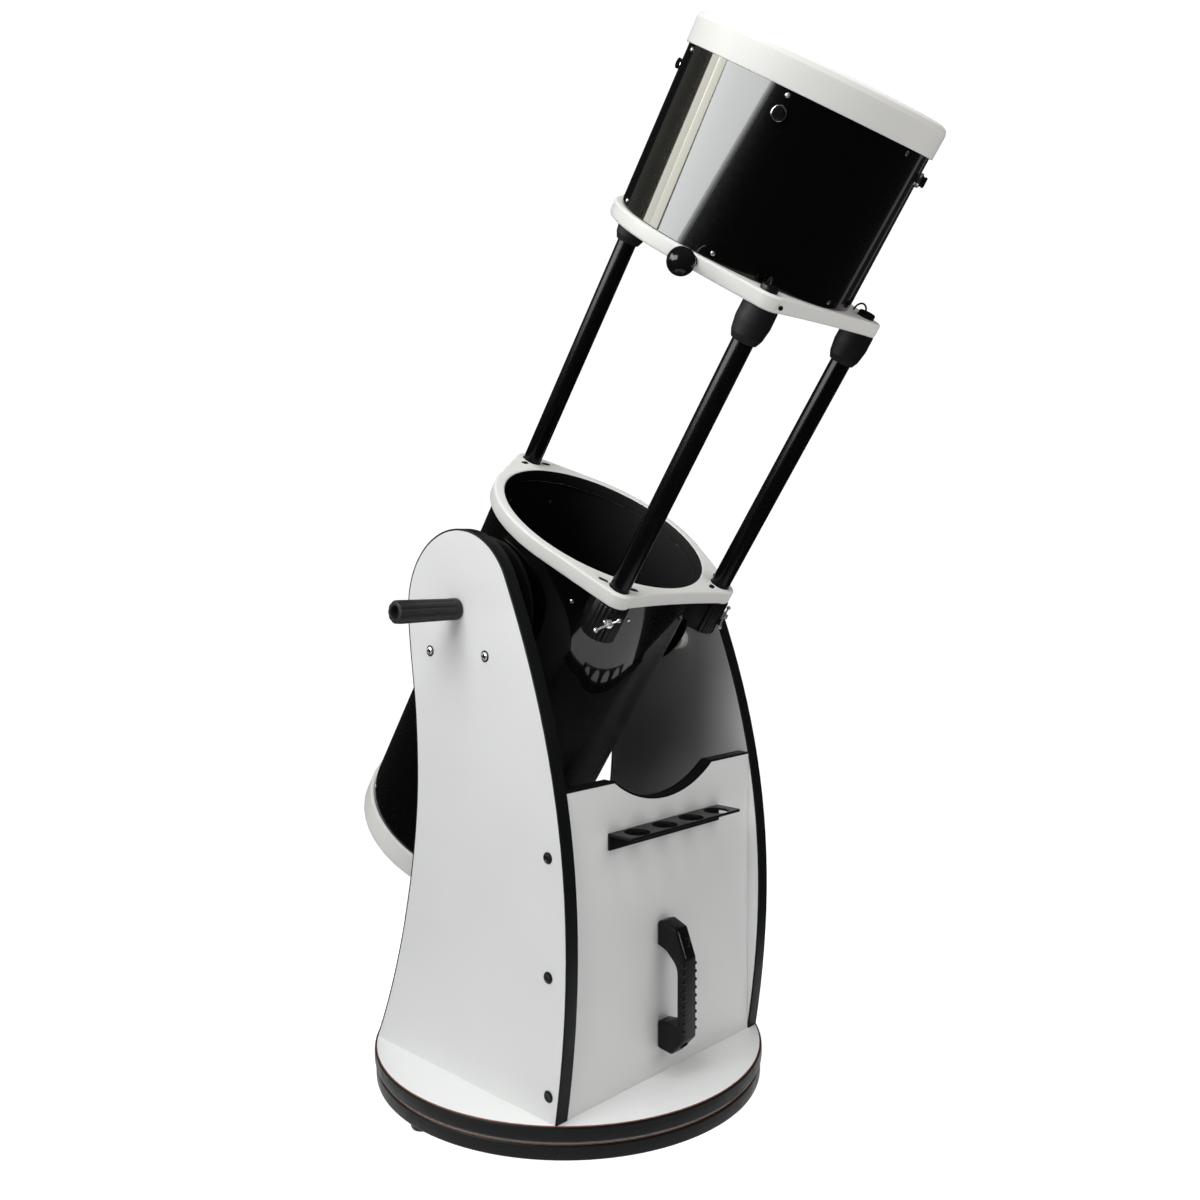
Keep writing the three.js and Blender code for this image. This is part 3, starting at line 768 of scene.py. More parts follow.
def handle_profile():
    """The carry handle from the side, as (stand, z): stand is the distance from the front panel."""
    outer = [(0, 97, 2), (3, 95, 2), (22, 93, 5), (43, 116, 5), (43, 214, 6), (29, 249, 5), (10, 256, 5)]
    outer.append((2, 254, 2))
    inner = [(0, 250, 1), (0, 224, 1), (14, 219, 12), (31, 203, 22), (31, 128, 14), (14, 131, 5), (0, 129, 2)]
    return eased(outer + inner, 2, 6)


def make_carry_handle():
    """A chunky moulded handle with a row of bumps down each edge of its grip."""
    half = 12
    body = slab(handle_profile(), -half, half, 3.2, steps=4)
    low, high = size("carry_handle")
    middle = (low.x + high.x) / 2
    back = FRONT_FACE - CONTACT
    # The drawing's first axis runs away from the panel, towards -Y.
    away = Matrix(((0, 0, 1, middle), (-1, 0, 0, back), (0, 1, 0, 0), (0, 0, 0, 1)))
    fine("carry_handle", body, "rocker", "black_plastic", away)
    grip = 42
    bumps = []
    for z in range(126, 208, 10):
        for x in (-half + 2.2, half - 2.2):
            bump = rod(2.4, -3.4, 3.4, 1.4, 16)
            bumps.append(moved(bump, at(middle + x, back - grip + 1.2, z) @ OUT))
    piece("carry_handle_bumps", together(*bumps), "rocker", "black_plastic")
    # Painted highlight: a thin steel ridge along the grip's upper chamfer stands in for the line of light on the
    # black plastic edge.
    highlight_ridge = [(middle - half + 4, FRONT_FACE - y, z) for y, z in ((30.95, 246), (36.95, 231), (42.95, 216))]
    line = sweep(highlight_ridge, circle(0, 0, 0.75, 10))
    piece("carry_handle_highlight_ridge", line, "rocker", "black_plastic", material="steel")
    screws = []
    for stand, z, degrees in ((33.2, 104.2, -47.6), (36.8, 232.5, 21.8)):
        place = at(middle, back - stand, z) @ about("X", 90 - degrees)
        head = lathe([(0, -0.6), (5.6, -0.6), (5.6, 0.5), (4.9, 0.9), (4.4, 0.5), (4.2, -0.2), (0, -0.2)], 28)
        screws.append(moved(head, place))
    piece("carry_handle_screws", together(*screws), "rocker", "black_plastic", material="gloss_ball")


def on_panel(side, y, z):
    """The place of something that stands on the outside of a side panel."""
    return at(side * PANEL_OUTER, y, z) @ about("Y", 90 * side)


def make_rollers():
    """Four nylon rollers under the altitude hubs, each on a screw whose head shows outside the side panel."""
    for side_name, side in SIDES.items():
        for end_name in ("front", "rear"):
            node = f"cradle_roller_{side_name}_{end_name}"
            low, high = size(node)
            centre = (low + high) / 2
            radius = (high.z - low.z) / 2
            width = high.x - low.x
            roller = turned([(3, 0), (radius, 0), (radius, width), (3, width)], 1.4, 3)
            place = at(side * (abs(centre.x) - width / 2), centre.y, centre.z) @ about("Y", 90 * side)
            fine(node, roller, "rocker", "nylon", place)
    low, high = size("cradle_roller_left_front")
    reach, height = abs((low.y + high.y) / 2), (low.z + high.z) / 2
    places = [on_panel(side, y, height) for side in SIDES.values() for y in (-reach, reach)]
    head = [(2.7, SKIN), (5.2, SKIN), (5.2, 1.2), (4.7, 2.2), (3.4, 2.8), (2.7, 2.0)]
    washer = [(5.3, SKIN), (6.9, SKIN), (6.9, 0.6), (6.2, 1.0), (5.3, 1.0)]
    socket = [(0, SKIN), (2.65, SKIN), (2.65, 0.9), (0, 0.7)]
    piece("roller_screw_heads", copies(lambda: lathe(head, 32), places), "rocker", "chrome")
    piece("roller_screw_washers", copies(lambda: lathe(washer, 32), places), "rocker", "black_plastic")
    piece("roller_screw_sockets", copies(lambda: lathe(socket, 6), places), "rocker", "black_plastic")


SCREW_CAP_Y = -158.5  # where the side panels' screws go into the front panel


def make_screw_caps():
    """Black caps over the screws that hold each side panel to the front panel."""
    profile = [(0, SKIN), (6.7, SKIN), (6.9, 0.5), (6.0, 1.7), (4.2, 2.2), (3.2, 1.6), (0, 1.3)]
    places = [on_panel(side, SCREW_CAP_Y, z) for side in SIDES.values() for z in (92, 228, 364)]
    piece("side_panel_screw_caps", copies(lambda: lathe(profile, 32), places), "rocker", "black_plastic")


# ---- tension handles ----
def make_tension_handles():
    for name, side in SIDES.items():
        node = f"tension_handle_{name}"
        low, high = size(node)
        tip = high.x if side > 0 else -low.x
        stub = low.x if side > 0 else -high.x
        start = PANEL_OUTER + 0.4
        profile = [
            (0, stub, 0), (5, stub, 0), (5, start, 0), (12.2, start, 0), (13.2, start + 0.8, 0),
            (13.4, start + 2, 0), (13.4, start + 9, 0), (13.4, start + 11, 1), (14.3, tip - 6, 1),
            (13.9, tip - 2.2, 0.8), (12.8, tip - 0.4, 0.5), (11.4, tip, 0), (8.6, tip, 0),
            (8.1, tip - 0.6, 0), (7.6, tip - 9, 0), (0, tip - 9, 0),
        ]
        place = at(0, *TUBE_CENTRE.yz) @ about("Y", 90 * side)
        fine(node, fluted(profile, 10, 1.7), node, "black_plastic", place, "handle_grip")


# ---- tube and rings ----
def in_tube(point):
    return TUBE.inverted() @ point


def make_tubes():
    middle = TUBE_RADIUS - TUBE_WALL / 2
    for node, body in (("lower_tube", "tube"), ("upper_tube", "cage")):
        low, high = stations(node)
        shell = hoop(TUBE_INSIDE, TUBE_RADIUS, low, high, 0, 192)
        if node == "upper_tube":
            hole = moved(rod(30, 100, 170), round_place(FOCUSER_ANGLE, focuser_station()) @ OUT)
            shell = carve(shell, hole)
        made = fine(node, shell, body, "tube_paint", TUBE)
        second_material(made, "inside", lambda c, n: in_tube(c).xy.length < middle)


def focuser_station():
    return sum(stations("drawtube")) / 2


def ring_outline(steps=14):
    """A circle drawn out to a round corner at each strut, with a soft dip between the two lower struts."""
    reach = math.hypot(*STRUTS["top"])
    spread = math.degrees(math.acos((RING_RADIUS - LOBE_RADIUS) / reach))
    top, left, right = 90, strut_angle("left") + 360, strut_angle("right") + 360
    inward = 62
    line = arc(STRUTS["top"], LOBE_RADIUS, top - spread, top + spread, steps)
    line += arc((0, 0), RING_RADIUS, top + spread, left - spread, 3 * steps)
    line += arc(STRUTS["left"], LOBE_RADIUS, left - spread, left + inward, steps)
    start = Vector(line[-1])
    end_arc = arc(STRUTS["right"], LOBE_RADIUS, right - inward, right + spread, steps)
    end = Vector(end_arc[0])
    dip = Vector((0, -147))
    for k in range(1, steps):
        t = k / steps
        line.append(tuple(start * (1 - t) ** 2 + dip * 2 * t * (1 - t) + end * t ** 2))
    line += end_arc
    line += arc((0, 0), RING_RADIUS, right + spread, top + 360 - spread, 3 * steps)
    return line


SLOT_OFFSET = 19.5
RING_EASE = 2.6


def in_ring_bore(centre, normal):
    """The wall of a ring's bore, painted black like the inside of the tube."""
    return in_tube(centre).xy.length < RING_BORE + 1 and abs(normal.dot(TUBE_AXIS)) < 0.6


def make_truss_rings():
    """Two cast rings. The lower one has a bore for each strut and a slot on each side of it."""
    low, high = stations("lower_truss_ring")
    bores = [circle(x, y, STRUT_RADIUS + 0.45) for x, y in STRUTS.values()]
    slots, linings = [], []
    for name, (x, y) in STRUTS.items():
        angle = strut_angle(name)
        for side in SIDES.values():
            dx, dy = polar(SLOT_OFFSET, angle + side * 97)
            spot = (x * 0.962 + dx, y * 0.962 + dy)
            tilt = angle + 90 + side * 12
            slots.append(oblong(*spot, 12.4, 6.2, tilt))
            linings.append(slab(oblong(*spot, 12.3, 6.1, tilt), low + 1, high - 0.3))
    bore = circle(0, 0, RING_BORE, ROUND)
    ring = slab(ring_outline(), low, high, RING_EASE, [bore, *bores, *slots], 5)
    made = fine("lower_truss_ring", ring, "tube", "white_casting", TUBE)
    second_material(made, "inside", in_ring_bore)
    piece("ring_slot_linings", together(*linings), "tube", "black_casting", TUBE)
    low, high = stations("upper_truss_ring")
    ring = slab(ring_outline(), low, high, RING_EASE, [bore], 5)
    made = fine("upper_truss_ring", ring, "cage", "white_casting", TUBE)
    second_material(made, "inside", in_ring_bore)
    socket = [(0, 0.05), (2.6, 0.05), (2.6, 0.35), (1.6, 0.1), (0, 0.1)]
    places = []
    for name, position in STRUTS.items():
        reach = math.hypot(*position) + LOBE_RADIUS
        places.append(round_place(strut_angle(name) + 4.2, (low + high) / 2, reach) @ OUT)
    piece("ring_set_screws", copies(lambda: lathe(socket, 20), places), "cage", "black_plastic", TUBE)


def make_end_rings():
    """Each end ring caps its tube, with a spigot that fits inside it."""
    low, high = stations("upper_end_ring")
    seat = stations("upper_tube")[1] + 0.15
    spigot = TUBE_INSIDE - 0.9
    profile = [
        (136, low, 0.5), (spigot, low, 0.5), (spigot, seat, 0), (147.6, seat, 0.8), (147.9, high - 8, 3),
        (146, high - 2.5, 4), (141, high, 3.5), (136, high, 2.5), (133, high - 3, 2), (133, seat, 2),
    ]
    fine("upper_end_ring", turned(profile, 1, 6, ROUND), "cage", "white_casting", TUBE)
    low, high = stations("lower_end_ring")
    seat = stations("lower_tube")[0] - 0.15
    profile = [
        (135, low, 2), (143, low, 4), (147, low + 2.5, 4), (148, low + 8, 3), (148, seat, 1.2),
        (spigot, seat, 0), (spigot, high, 0.5), (137, high, 0.5), (134, seat, 2), (134, low + 3, 2),
    ]
    fine("lower_end_ring", turned(profile, 1, 6, ROUND), "tube", "white_casting", TUBE)


def small_screw(radius, height):
    """A pan head standing on Z = 0."""
    profile = [(0, 0), (radius, 0), (radius, height * 0.5, 0.5), (radius * 0.7, height, 0.6), (0, height)]
    return turned(profile, 0, 3, 24, closed=False)


def tube_screws(name, body, rows):
    heads = []
    for station, angles in rows:
        for degrees in angles:
            outside = round_place(degrees, station, TUBE_RADIUS - 0.1) @ OUT
            inside = round_place(degrees, station, TUBE_INSIDE) @ about("Y", -90)
            heads.append(moved(small_screw(2.6, 1.3), outside))
            heads.append(moved(small_screw(2.9, 2.2), inside))
    piece(name, together(*heads), body, "steel", TUBE)


def make_tube_screws():
    low, high = stations("upper_tube")
    rows = [(high - 5, TUBE_SCREW_ANGLES), (low + 7, TUBE_SCREW_ANGLES)]
    tube_screws("upper_tube_screws", "cage", rows)
    low, high = stations("lower_tube")
    beside_struts = [strut_angle(name) + turn for name in STRUTS for turn in (-15, 15)]
    rows = [(high - 30, beside_struts), (low + 9, TUBE_SCREW_ANGLES)]
    tube_screws("lower_tube_screws", "tube", rows)


# ---- altitude hubs ----
def tube_cutter(low, high):
    return rod(TUBE_RADIUS + 0.2, low, high, 0, ROUND)


def make_altitude_hubs():
    bore, journal, flange = 5.4, 60, 89.5
    root, step = 116, (146, 150)
    for name, side in SIDES.items():
        node = f"altitude_hub_{name}"
        low, high = tube_size(node)
        tip = max(abs(low.x), abs(high.x))
        profile = [
            (bore, root, 0), (journal, root, 0), (journal, step[0], 1), (flange, step[0], 0.8),
            (flange, step[1], 1.4), (journal, step[1], 1), (journal, tip, 1), (bore, tip, 0.5),
        ]
        hub = carve(moved(turned(profile, 1, 3, 96), about("Y", 90 * side)), tube_cutter(-110, 110))
        fine(node, hub, "tube", "black_casting", TUBE)


# ---- struts, their clamps, levers and boots ----
def make_struts():
    for name, (x, y) in STRUTS.items():
        low, high = stations(f"strut_{name}")
        strut = hoop(STRUT_RADIUS - 1.75, STRUT_RADIUS, low, high, 0.4, 48)
        fine(f"strut_{name}", strut, "cage", "strut_paint", TUBE @ at(x, y, 0))
        low, high = stations(f"strut_boot_{name}")
        inner, seat = STRUT_RADIUS + 0.1, high - 0.2
        profile = [
            (inner, low, 0.6), (14.6, low, 1.2), (18, low + 7.5, 6), (20.2, low + 22, 12), (19.8, seat, 0.6),
            (inner, seat, 0),
        ]
        fine(f"strut_boot_{name}", turned(profile, 1, 6, 56), "cage", "rubber", TUBE @ at(x, y, 0))


CLAMP_RADIUS = 21.6
CLAMP_ROOT = 138  # where the clamp starts, inside the tube's skin that cuts it
CLAMP_SCALLOPS = 20  # round the whole collar
SCALLOP_DEPTH = 1.5


def clamp_outline(reach):
    """A scalloped collar round the strut that runs back to the tube."""
    line = [(CLAMP_ROOT, -CLAMP_RADIUS)]
    steps = 96
    for k in range(steps + 1):
        degrees = -90 + 180 * k / steps
        wave = abs(math.sin(math.radians(degrees * CLAMP_SCALLOPS / 2)))
        x, y = polar(CLAMP_RADIUS - SCALLOP_DEPTH * (1 - wave ** 0.7), degrees)
        line.append((reach + x, y))
    line.append((CLAMP_ROOT, CLAMP_RADIUS))
    return line


def make_strut_clamps():
    low, high = stations("strut_clamp_top")
    lever_station = sum(stations("clamp_lever_top")) / 2
    for name, position in STRUTS.items():
        reach = math.hypot(*position)
        body = slab(clamp_outline(reach), low, high, 1.6, [circle(reach, 0, STRUT_RADIUS + 0.45)])
        relief = block((110, -40, low - 5), (150, 40, low + 8), 0)
        body = carve(body, tube_cutter(low - 9, high + 9), relief)
        fine(f"strut_clamp_{name}", body, "tube", "black_casting", round_tube(strut_angle(name)))
        make_clamp_lever(name, lever_station)


LEVER_TURN = -46


def make_clamp_lever(name, station):
    """A chrome wing screw with a ball on each wing, its axis pointing away from the tube."""
    stem = [
        (0, 178), (3, 178), (3, 186.6), (5.6, 186.6), (5.6, 190.5, 0.8), (3.2, 191.5, 0.5), (3.2, 194, 0.8),
        (0, 194),
    ]
    parts = [turned(stem, 0.4, 4, 6, closed=False)]
    for direction, length, ball in ((180, 16.4, 3.0), (0, 12.6, 2.7), (115, 6.6, 1.9)):
        bar = [(0, 3, 189.4), (0, length * 0.5, 189.6), (0, length, 190.4)]
        arm = sweep(bar, circle(0, 0, 1.25, 12))
        knob = lathe([polar(ball, a) for a in range(-90, 91, 15)], 20)
        parts.append(moved(together(arm, moved(knob, at(0, length, 190.4))), about("Z", direction)))
    # Once the screw points outwards its wings are turned to the angle they are left at when tight.
    lever = moved(together(*parts), OUT @ about("Z", -LEVER_TURN))
    node = f"clamp_lever_{name}"
    fine(node, lever, node, "chrome", round_tube(strut_angle(name), station))


def make_strut_caps():
    """On the upper ring, a cap over each strut's bolt, with a small raised loop beside it."""
    top = stations("upper_truss_ring")[1]
    caps = []
    for x, y in STRUTS.values():
        cap = turned([(0, 0), (10, 0), (10, 6.4, 2.4), (0, 6.4)], 0.3, 4, 36, closed=False)
        caps.append(moved(cap, at(x, y, top + 0.02)))
        inward = Vector((-x, -y)).normalized()
        arch = []
        for k in range(13):
            reach, rise = polar(7, 180 * k / 12)
            spot = Vector((x, y)) + inward * (9 + reach)
            arch.append((spot.x, spot.y, top + 2 + rise * 1.5))
        caps.append(sweep(arch, circle(0, 0, 1.1, 12)))
    piece("strut_bolt_caps", together(*caps), "cage", "black_plastic", TUBE)


# ---- upper cage ----
def make_guide_knob():
    station = sum(stations("guide_knob")) / 2
    ball, centre, foot = 15, 186, 153.6
    profile = [(0, foot), (7.2, foot), (7.2, foot + 2.5), (5.2, foot + 4), (5.2, centre - 13.5)]
    profile += [(r, centre + h) for r, h in (polar(ball, a) for a in range(-66, 91, 6))]
    knob = moved(lathe(eased(profile[:5], 0.8, 3, closed=False) + [Vector(p) for p in profile[5:]], 56), OUT)
    fine("guide_knob", knob, "cage", "black_plastic", round_tube(GUIDE_KNOB_ANGLE, station), "gloss_ball")


def make_spider():
    low, high = stations("spider")
    station = high - 13
    reach = TUBE_INSIDE - 0.8
    hub = [(0, low), (15, low, 1), (15, high - 4, 0.5), (12, high - 1, 1), (0, high, 0)]
    parts = [turned(hub, 1, 4, 56, closed=False)]
    for degrees in SPIDER_ANGLES:
        vane = block((14, -0.5, station - 12), (reach - 0.5, 0.5, station + 12), 0.2)
        tab = block((reach - 5, -6, station - 9), (reach - 0.4, 6, station + 9), 1.2)
        parts += [moved(vane, about("Z", degrees)), moved(tab, about("Z", degrees))]
    fine("spider", together(*parts), "cage", "black_casting", TUBE)
    places = [round_place(degrees, station, TUBE_RADIUS + 0.05) @ OUT for degrees in SPIDER_ANGLES]
    ring = [(4.4, 0), (7.9, 0, 0.4), (7.9, 3.4, 1.6), (6.1, 3.4, 0.8), (6.1, 2.4)]
    rings = copies(lambda: turned(ring, 0.2, 5, 48), places)
    piece("vane_nut_rings", rings, "cage", "chrome", TUBE, material="dark_chrome")
    knob = [
        (0, 2.4, 0), (6, 2.4, 0), (6, 4.4, 0.2), (5.2, 4.9, 0.3), (5.2, 5.4, 0.3), (5.9, 6, 1), (5.9, 8, 1),
        (5.0, 8.8, 0.5), (0, 9.0, 0),
    ]
    knobs = copies(lambda: fluted(knob, 14, 0.6, 6), places)
    piece("vane_nuts", knobs, "cage", "black_plastic", TUBE, material="gloss_ball")
    screw = [(0, 0), (2.6, 0), (2.6, 3, 0.5), (0, 3)]
    places = [round_place(degrees, high - 1, 9) for degrees in CELL_ANGLES]
    screws = copies(lambda: turned(screw, 0.2, 2, 24, closed=False), places)
    piece("secondary_adjusting_screws", screws, "cage", "steel", TUBE)


def make_secondary():
    """The flat mirror at 45 degrees to the tube and the black stalk that holds it."""
    glass, gap = 9, 0.3
    centre = focuser_station()
    tilt = at(0, 0, centre) @ about("Z", FOCUSER_ANGLE) @ about("Y", -45)
    high = stations("secondary_holder")[1]
    layer = moved(block((-60, -60, 0), (60, 60, glass), 0), tilt)
    mirror = combined(rod(29, centre - 60, centre + 60, 0, 72), "INTERSECT", layer)
    fine("secondary_mirror", mirror, "cage", "mirror_glass", TUBE)
    above = moved(block((-90, -90, glass + gap), (90, 90, 90), 0), tilt)
    stalk_foot = centre + 26
    body = combined(rod(27.5, centre - 38, stalk_foot, 0.8, 72), "INTERSECT", above)
    holder = together(body, rod(4, stalk_foot - 2, high, 0, 24))
    fine("secondary_holder", holder, "cage", "black_casting", TUBE)


# ---- focuser and finder shoe ----
def make_focuser():
    """In the focuser's own frame Z runs out along its drawtube, Y along the tube and X across it."""
    own = TUBE @ round_place(FOCUSER_ANGLE, focuser_station()) @ STANDING
    saddle = slab(eased([(-42, -42), (42, -42), (42, 42), (-42, 42)], 9, 6), 124, 152, 2)
    seat = moved(rod(TUBE_RADIUS + 0.2, -70, 70, 0, ROUND), about("X", 90))
    barrel = rod(31, 150, 196, 1.2, 64)
    housing = slab(eased([(-17, -46), (17, -46), (17, -20), (-17, -20)], 4, 4), 151, 189, 2)
    body = carve(fuse(saddle, barrel, housing), seat, rod(27.4, 120, 200, 0, 64))
    fine("focuser_base", body, "cage", "black_plastic", own, material="black_casting")
    socket = 25.5
    draw = [
        (socket, 140, 0.4), (27, 140, 0.4), (27, 198, 0), (31.5, 198, 0.4), (32.5, 200, 0.6),
        (32.5, 203, 0.5), (31.8, 204, 0.2), (31.8, 217, 0.2), (32.5, 218, 0.5), (32.5, 220, 0.6),
        (31.5, 222, 0.6), (socket, 222, 0.8),
    ]
    fine("drawtube", turned(draw, 0.3, 3, 72), "drawtube", "black_casting", own)
    shaft_place = at(0, -34, 176) @ OUT
    wheels = [moved(rod(3, -30, 30, 0, 24), shaft_place)]
    knob = [
        (0, 27, 0), (10, 27, 0), (13, 28.4, 0), (14.6, 29.5, 0.4), (15, 31, 1), (15, 41, 1), (14.4, 43, 0.6),
        (13.2, 44, 0), (10, 44, 0), (9, 43.2, 0), (0, 43.2, 0),
    ]
    for turn in (0, 180):
        wheels.append(moved(fluted(knob, 24, 0.9, 6), shaft_place @ about("Y", turn)))
    fine("focus_knobs", together(*wheels), "focus_knobs", "rubber", own)
    lock = [(0, 26.5, 0), (2, 26.5, 0), (2, 33.2, 0), (4, 33.2, 0), (6, 34.4, 1), (6, 42.6, 1), (5, 44, 0)]
    lock_screw = fluted([*lock, (0, 44, 0)], 12, 0.5, 6)
    fine("eyepiece_lock_screw", lock_screw, "eyepiece_lock", "chrome", own @ at(0, 0, 211) @ OUT)


def make_finder_shoe():
    """A dovetail shoe whose lips lean in over its slot."""
    upper = [(154, 14.5), (163, 11), (163, 17), (151, 19), (130, 19)]
    lower = [(x, -y) for x, y in reversed(upper)]
    outline = eased(lower + upper, 0.7, 3)
    low, high = stations("finder_shoe")
    shoe = carve(slab(outline, low, high, 0.5, steps=2), tube_cutter(low - 12, high + 12))
    fine("finder_shoe", shoe, "cage", "black_plastic", round_tube(FINDER_ANGLE))


# ---- mirror end ----
BOLT_REACH = 95  # of the collimation bolts from the axis


def coil(radius, wire, low, high, turns):
    steps = turns * 20
    path = []
    for k in range(steps + 1):
        x, y = polar(radius, 360 * turns * k / steps)
        path.append((x, y, low + (high - low) * k / steps))
    return sweep(path, circle(0, 0, wire, 8))


def make_mirror_cell():
    """A spoked plate behind the mirror, with three sprung collimation bolts and their knobs."""
    rear, top = stations("mirror_cell")
    front = rear + 10
    parts = [hoop(118, 133.4, rear, front, 1), rod(34, rear, front, 1, 64)]
    for degrees in CELL_ANGLES:
        parts.append(moved(block((24, -14, rear + 0.4), (121, 14, front - 0.4), 1.2), about("Z", degrees)))
        parts.append(moved(rod(9, front - 1, top, 0.8), round_place(degrees, 0, 62)))
    fine("mirror_cell", together(*parts), "tube", "black_casting", TUBE)
    places = [round_place(degrees, 0, BOLT_REACH) for degrees in CELL_ANGLES]
    springs = copies(lambda: coil(6.4, 0.9, front + 1, top - 1, 5), places)
    piece("collimation_springs", springs, "tube", "steel", TUBE)
    for index, degrees in enumerate(CELL_ANGLES):
        node = f"collimation_knob_{index + 1}"
        low, high = stations(node)
        face = rear - 0.3
        knob = [
            (0, low, 0), (8, low, 0), (9.6, low + 1, 0.4), (10.5, low + 3, 1), (10.5, low + 15, 1),
            (9.5, face, 0), (3, face, 0), (3, high, 0), (0, high, 0),
        ]
        fine(node, fluted(knob, 10, 1.3, 8), node, "black_plastic", round_tube(degrees, 0, BOLT_REACH))


def make_primary_mirror():
    """A thick bevelled glass disc with a shallow paraboloid on its front, and the clips round it."""
    back = stations("primary_mirror")[0]
    radius, edge, bevel = 127, 30, 1.2
    rim = back + edge
    radii = [radius - bevel, *range(112, -1, -14)]
    dish = [(r, rim - (radius ** 2 - r ** 2) / (4 * FOCAL_LENGTH)) for r in radii]
    profile = [(0, back), (radius - bevel, back), (radius, back + bevel), (radius, rim - bevel), *dish]
    made = fine("primary_mirror", lathe(profile, ROUND), "tube", "mirror_glass", TUBE)
    second_material(made, "glass_edge", lambda c, n: n.dot(TUBE_AXIS) < 0.9)
    clips = []
    for degrees in (30, 150, 270):
        upright = block((127.4, -9, back), (131, 9, rim + 2.4), 0.5)
        lip = block((121.5, -9, rim + 0.3), (131, 9, rim + 2.6), 0.5)
        clips.append(moved(together(upright, lip), about("Z", degrees)))
    piece("mirror_clips", together(*clips), "tube", "black_plastic", TUBE)


# ---- carried-over CAD nodes ----
def finish_kept_nodes():
    """CAD nodes whose shape is already right keep it and take this script's finish for their slot."""
    slots = {row["node"]: row.get("material_slot") for row in frame["record"]["subparts"]}
    for name, node in frame["nodes"].items():
        if node.hide_render:
            continue
        node.data.materials.clear()
        node.data.materials.append(MATERIALS[slots[name]].material)


# ---- camera, floor and light ----
CAMERA_PLACE = (-1.0643, -1.0708, 0.7148)
CAMERA_AZIMUTH = -45.92  # degrees, where 0 looks along +Y
CAMERA_ELEVATION = 1.946
CAMERA_ROLL = -0.084
LENS = 34.05  # millimetres, on a 36 mm sensor
SHIFT = (0.0087, -0.0134)


def make_camera():
    data = bpy.data.cameras.new("camera")
    data.lens = LENS
    data.sensor_width = 36
    data.shift_x, data.shift_y = SHIFT
    camera = linked("camera", data)
    turn = about("Z", CAMERA_AZIMUTH) @ about("X", 90 - CAMERA_ELEVATION) @ about("Z", CAMERA_ROLL)
    camera.matrix_world = Matrix.Translation(CAMERA_PLACE) @ turn
    bpy.context.scene.camera = camera


WHITE = 1.05  # the backdrop's own brightness
FLOOR_GLOW = 0.86  # the floor's own brightness under the telescope
FLOOR_NEAR = 0.22  # metres from the middle where the floor starts to melt into the white surround
FLOOR_FAR = 0.62
FLOOR_MIRRORED = 0.6  # the part of the floor that polished surfaces see


def stage_disc(name, inner, outer, material):
    """A flat ring around the telescope, in metres."""
    bm = bmesh.new()
    join_rings(bm, [[bm.verts.new((x, y, 0)) for x, y in circle(0, 0, r, 96)] for r in (outer, inner)])
    disc = linked(name, mesh_from(bm, name))
    disc.data.materials.append(material)
    return disc


def make_floor():
    """A pale matt floor around the base that melts into an evenly white surround."""
    s = Surface("floor", (0.5, 0.5, 0.5), 0.9)
    s.set("Emission Color", (1, 1, 1, 1))
    s.set("Base Color", s.mix(s.noise(3), (0.42, 0.42, 0.425), (0.44, 0.44, 0.44)))
    distance = s.node("VectorMath", Vector=s.place)
    distance.operation = "LENGTH"
    away = s.between(distance.outputs["Value"], FLOOR_NEAR, FLOOR_FAR, 0, 1)
    s.set("Emission Strength", s.between(away, 0, 1, FLOOR_GLOW, WHITE))
    floor = stage_disc("floor", 0.001, FLOOR_MIRRORED, s.material)
    margin = stage_disc("floor_margin", FLOOR_MIRRORED, FLOOR_FAR + 0.1, s.material)
    margin.visible_glossy = False
    # The light that a white floor throws upwards comes from the world's lower half instead.
    for disc in (floor, margin):
        disc.visible_diffuse = False
        disc.visible_shadow = False
    white = Surface("surround", (0, 0, 0), 1.0, Emission_Color=(1, 1, 1, 1), Emission_Strength=WHITE)
    surround = stage_disc("floor_surround", FLOOR_FAR + 0.1, 40, white.material)
    for ray in ("diffuse", "glossy", "transmission", "shadow"):
        setattr(surround, "visible_" + ray, False)


WORLD_GLOSS = 0.012  # what polished surfaces find between the lit panels
WORLD_ABOVE = 0.01  # what matt surfaces get from the studio above them
WORLD_BELOW = 0.64  # and from the white sweep below


def make_world():
    """A white studio that gives matt surfaces a little fill and polished ones almost nothing."""
    world = bpy.data.worlds.new("studio")
    bpy.context.scene.world = world
    sky = Graph(world)
    height = sky.node("SeparateXYZ", Vector=sky.node("TexCoord").outputs["Generated"]).outputs["Z"]
    strength = sky.between(height, -0.1, 0.1, WORLD_BELOW, WORLD_ABOVE)
    path = sky.node("LightPath")
    for ray, value in (("Is Glossy Ray", WORLD_GLOSS), ("Is Camera Ray", WHITE)):
        strength = sky.node("Mix", Factor=path.outputs[ray], A=strength, B=value).outputs["Result"]
    background = sky.tree.nodes["Background"]
    sky.feed(background, "Strength", strength)
    sky.feed(background, "Color", (1, 1, 1, 1))


STUDIO_MIDDLE = Vector((-0.1, -0.33, 1.1))


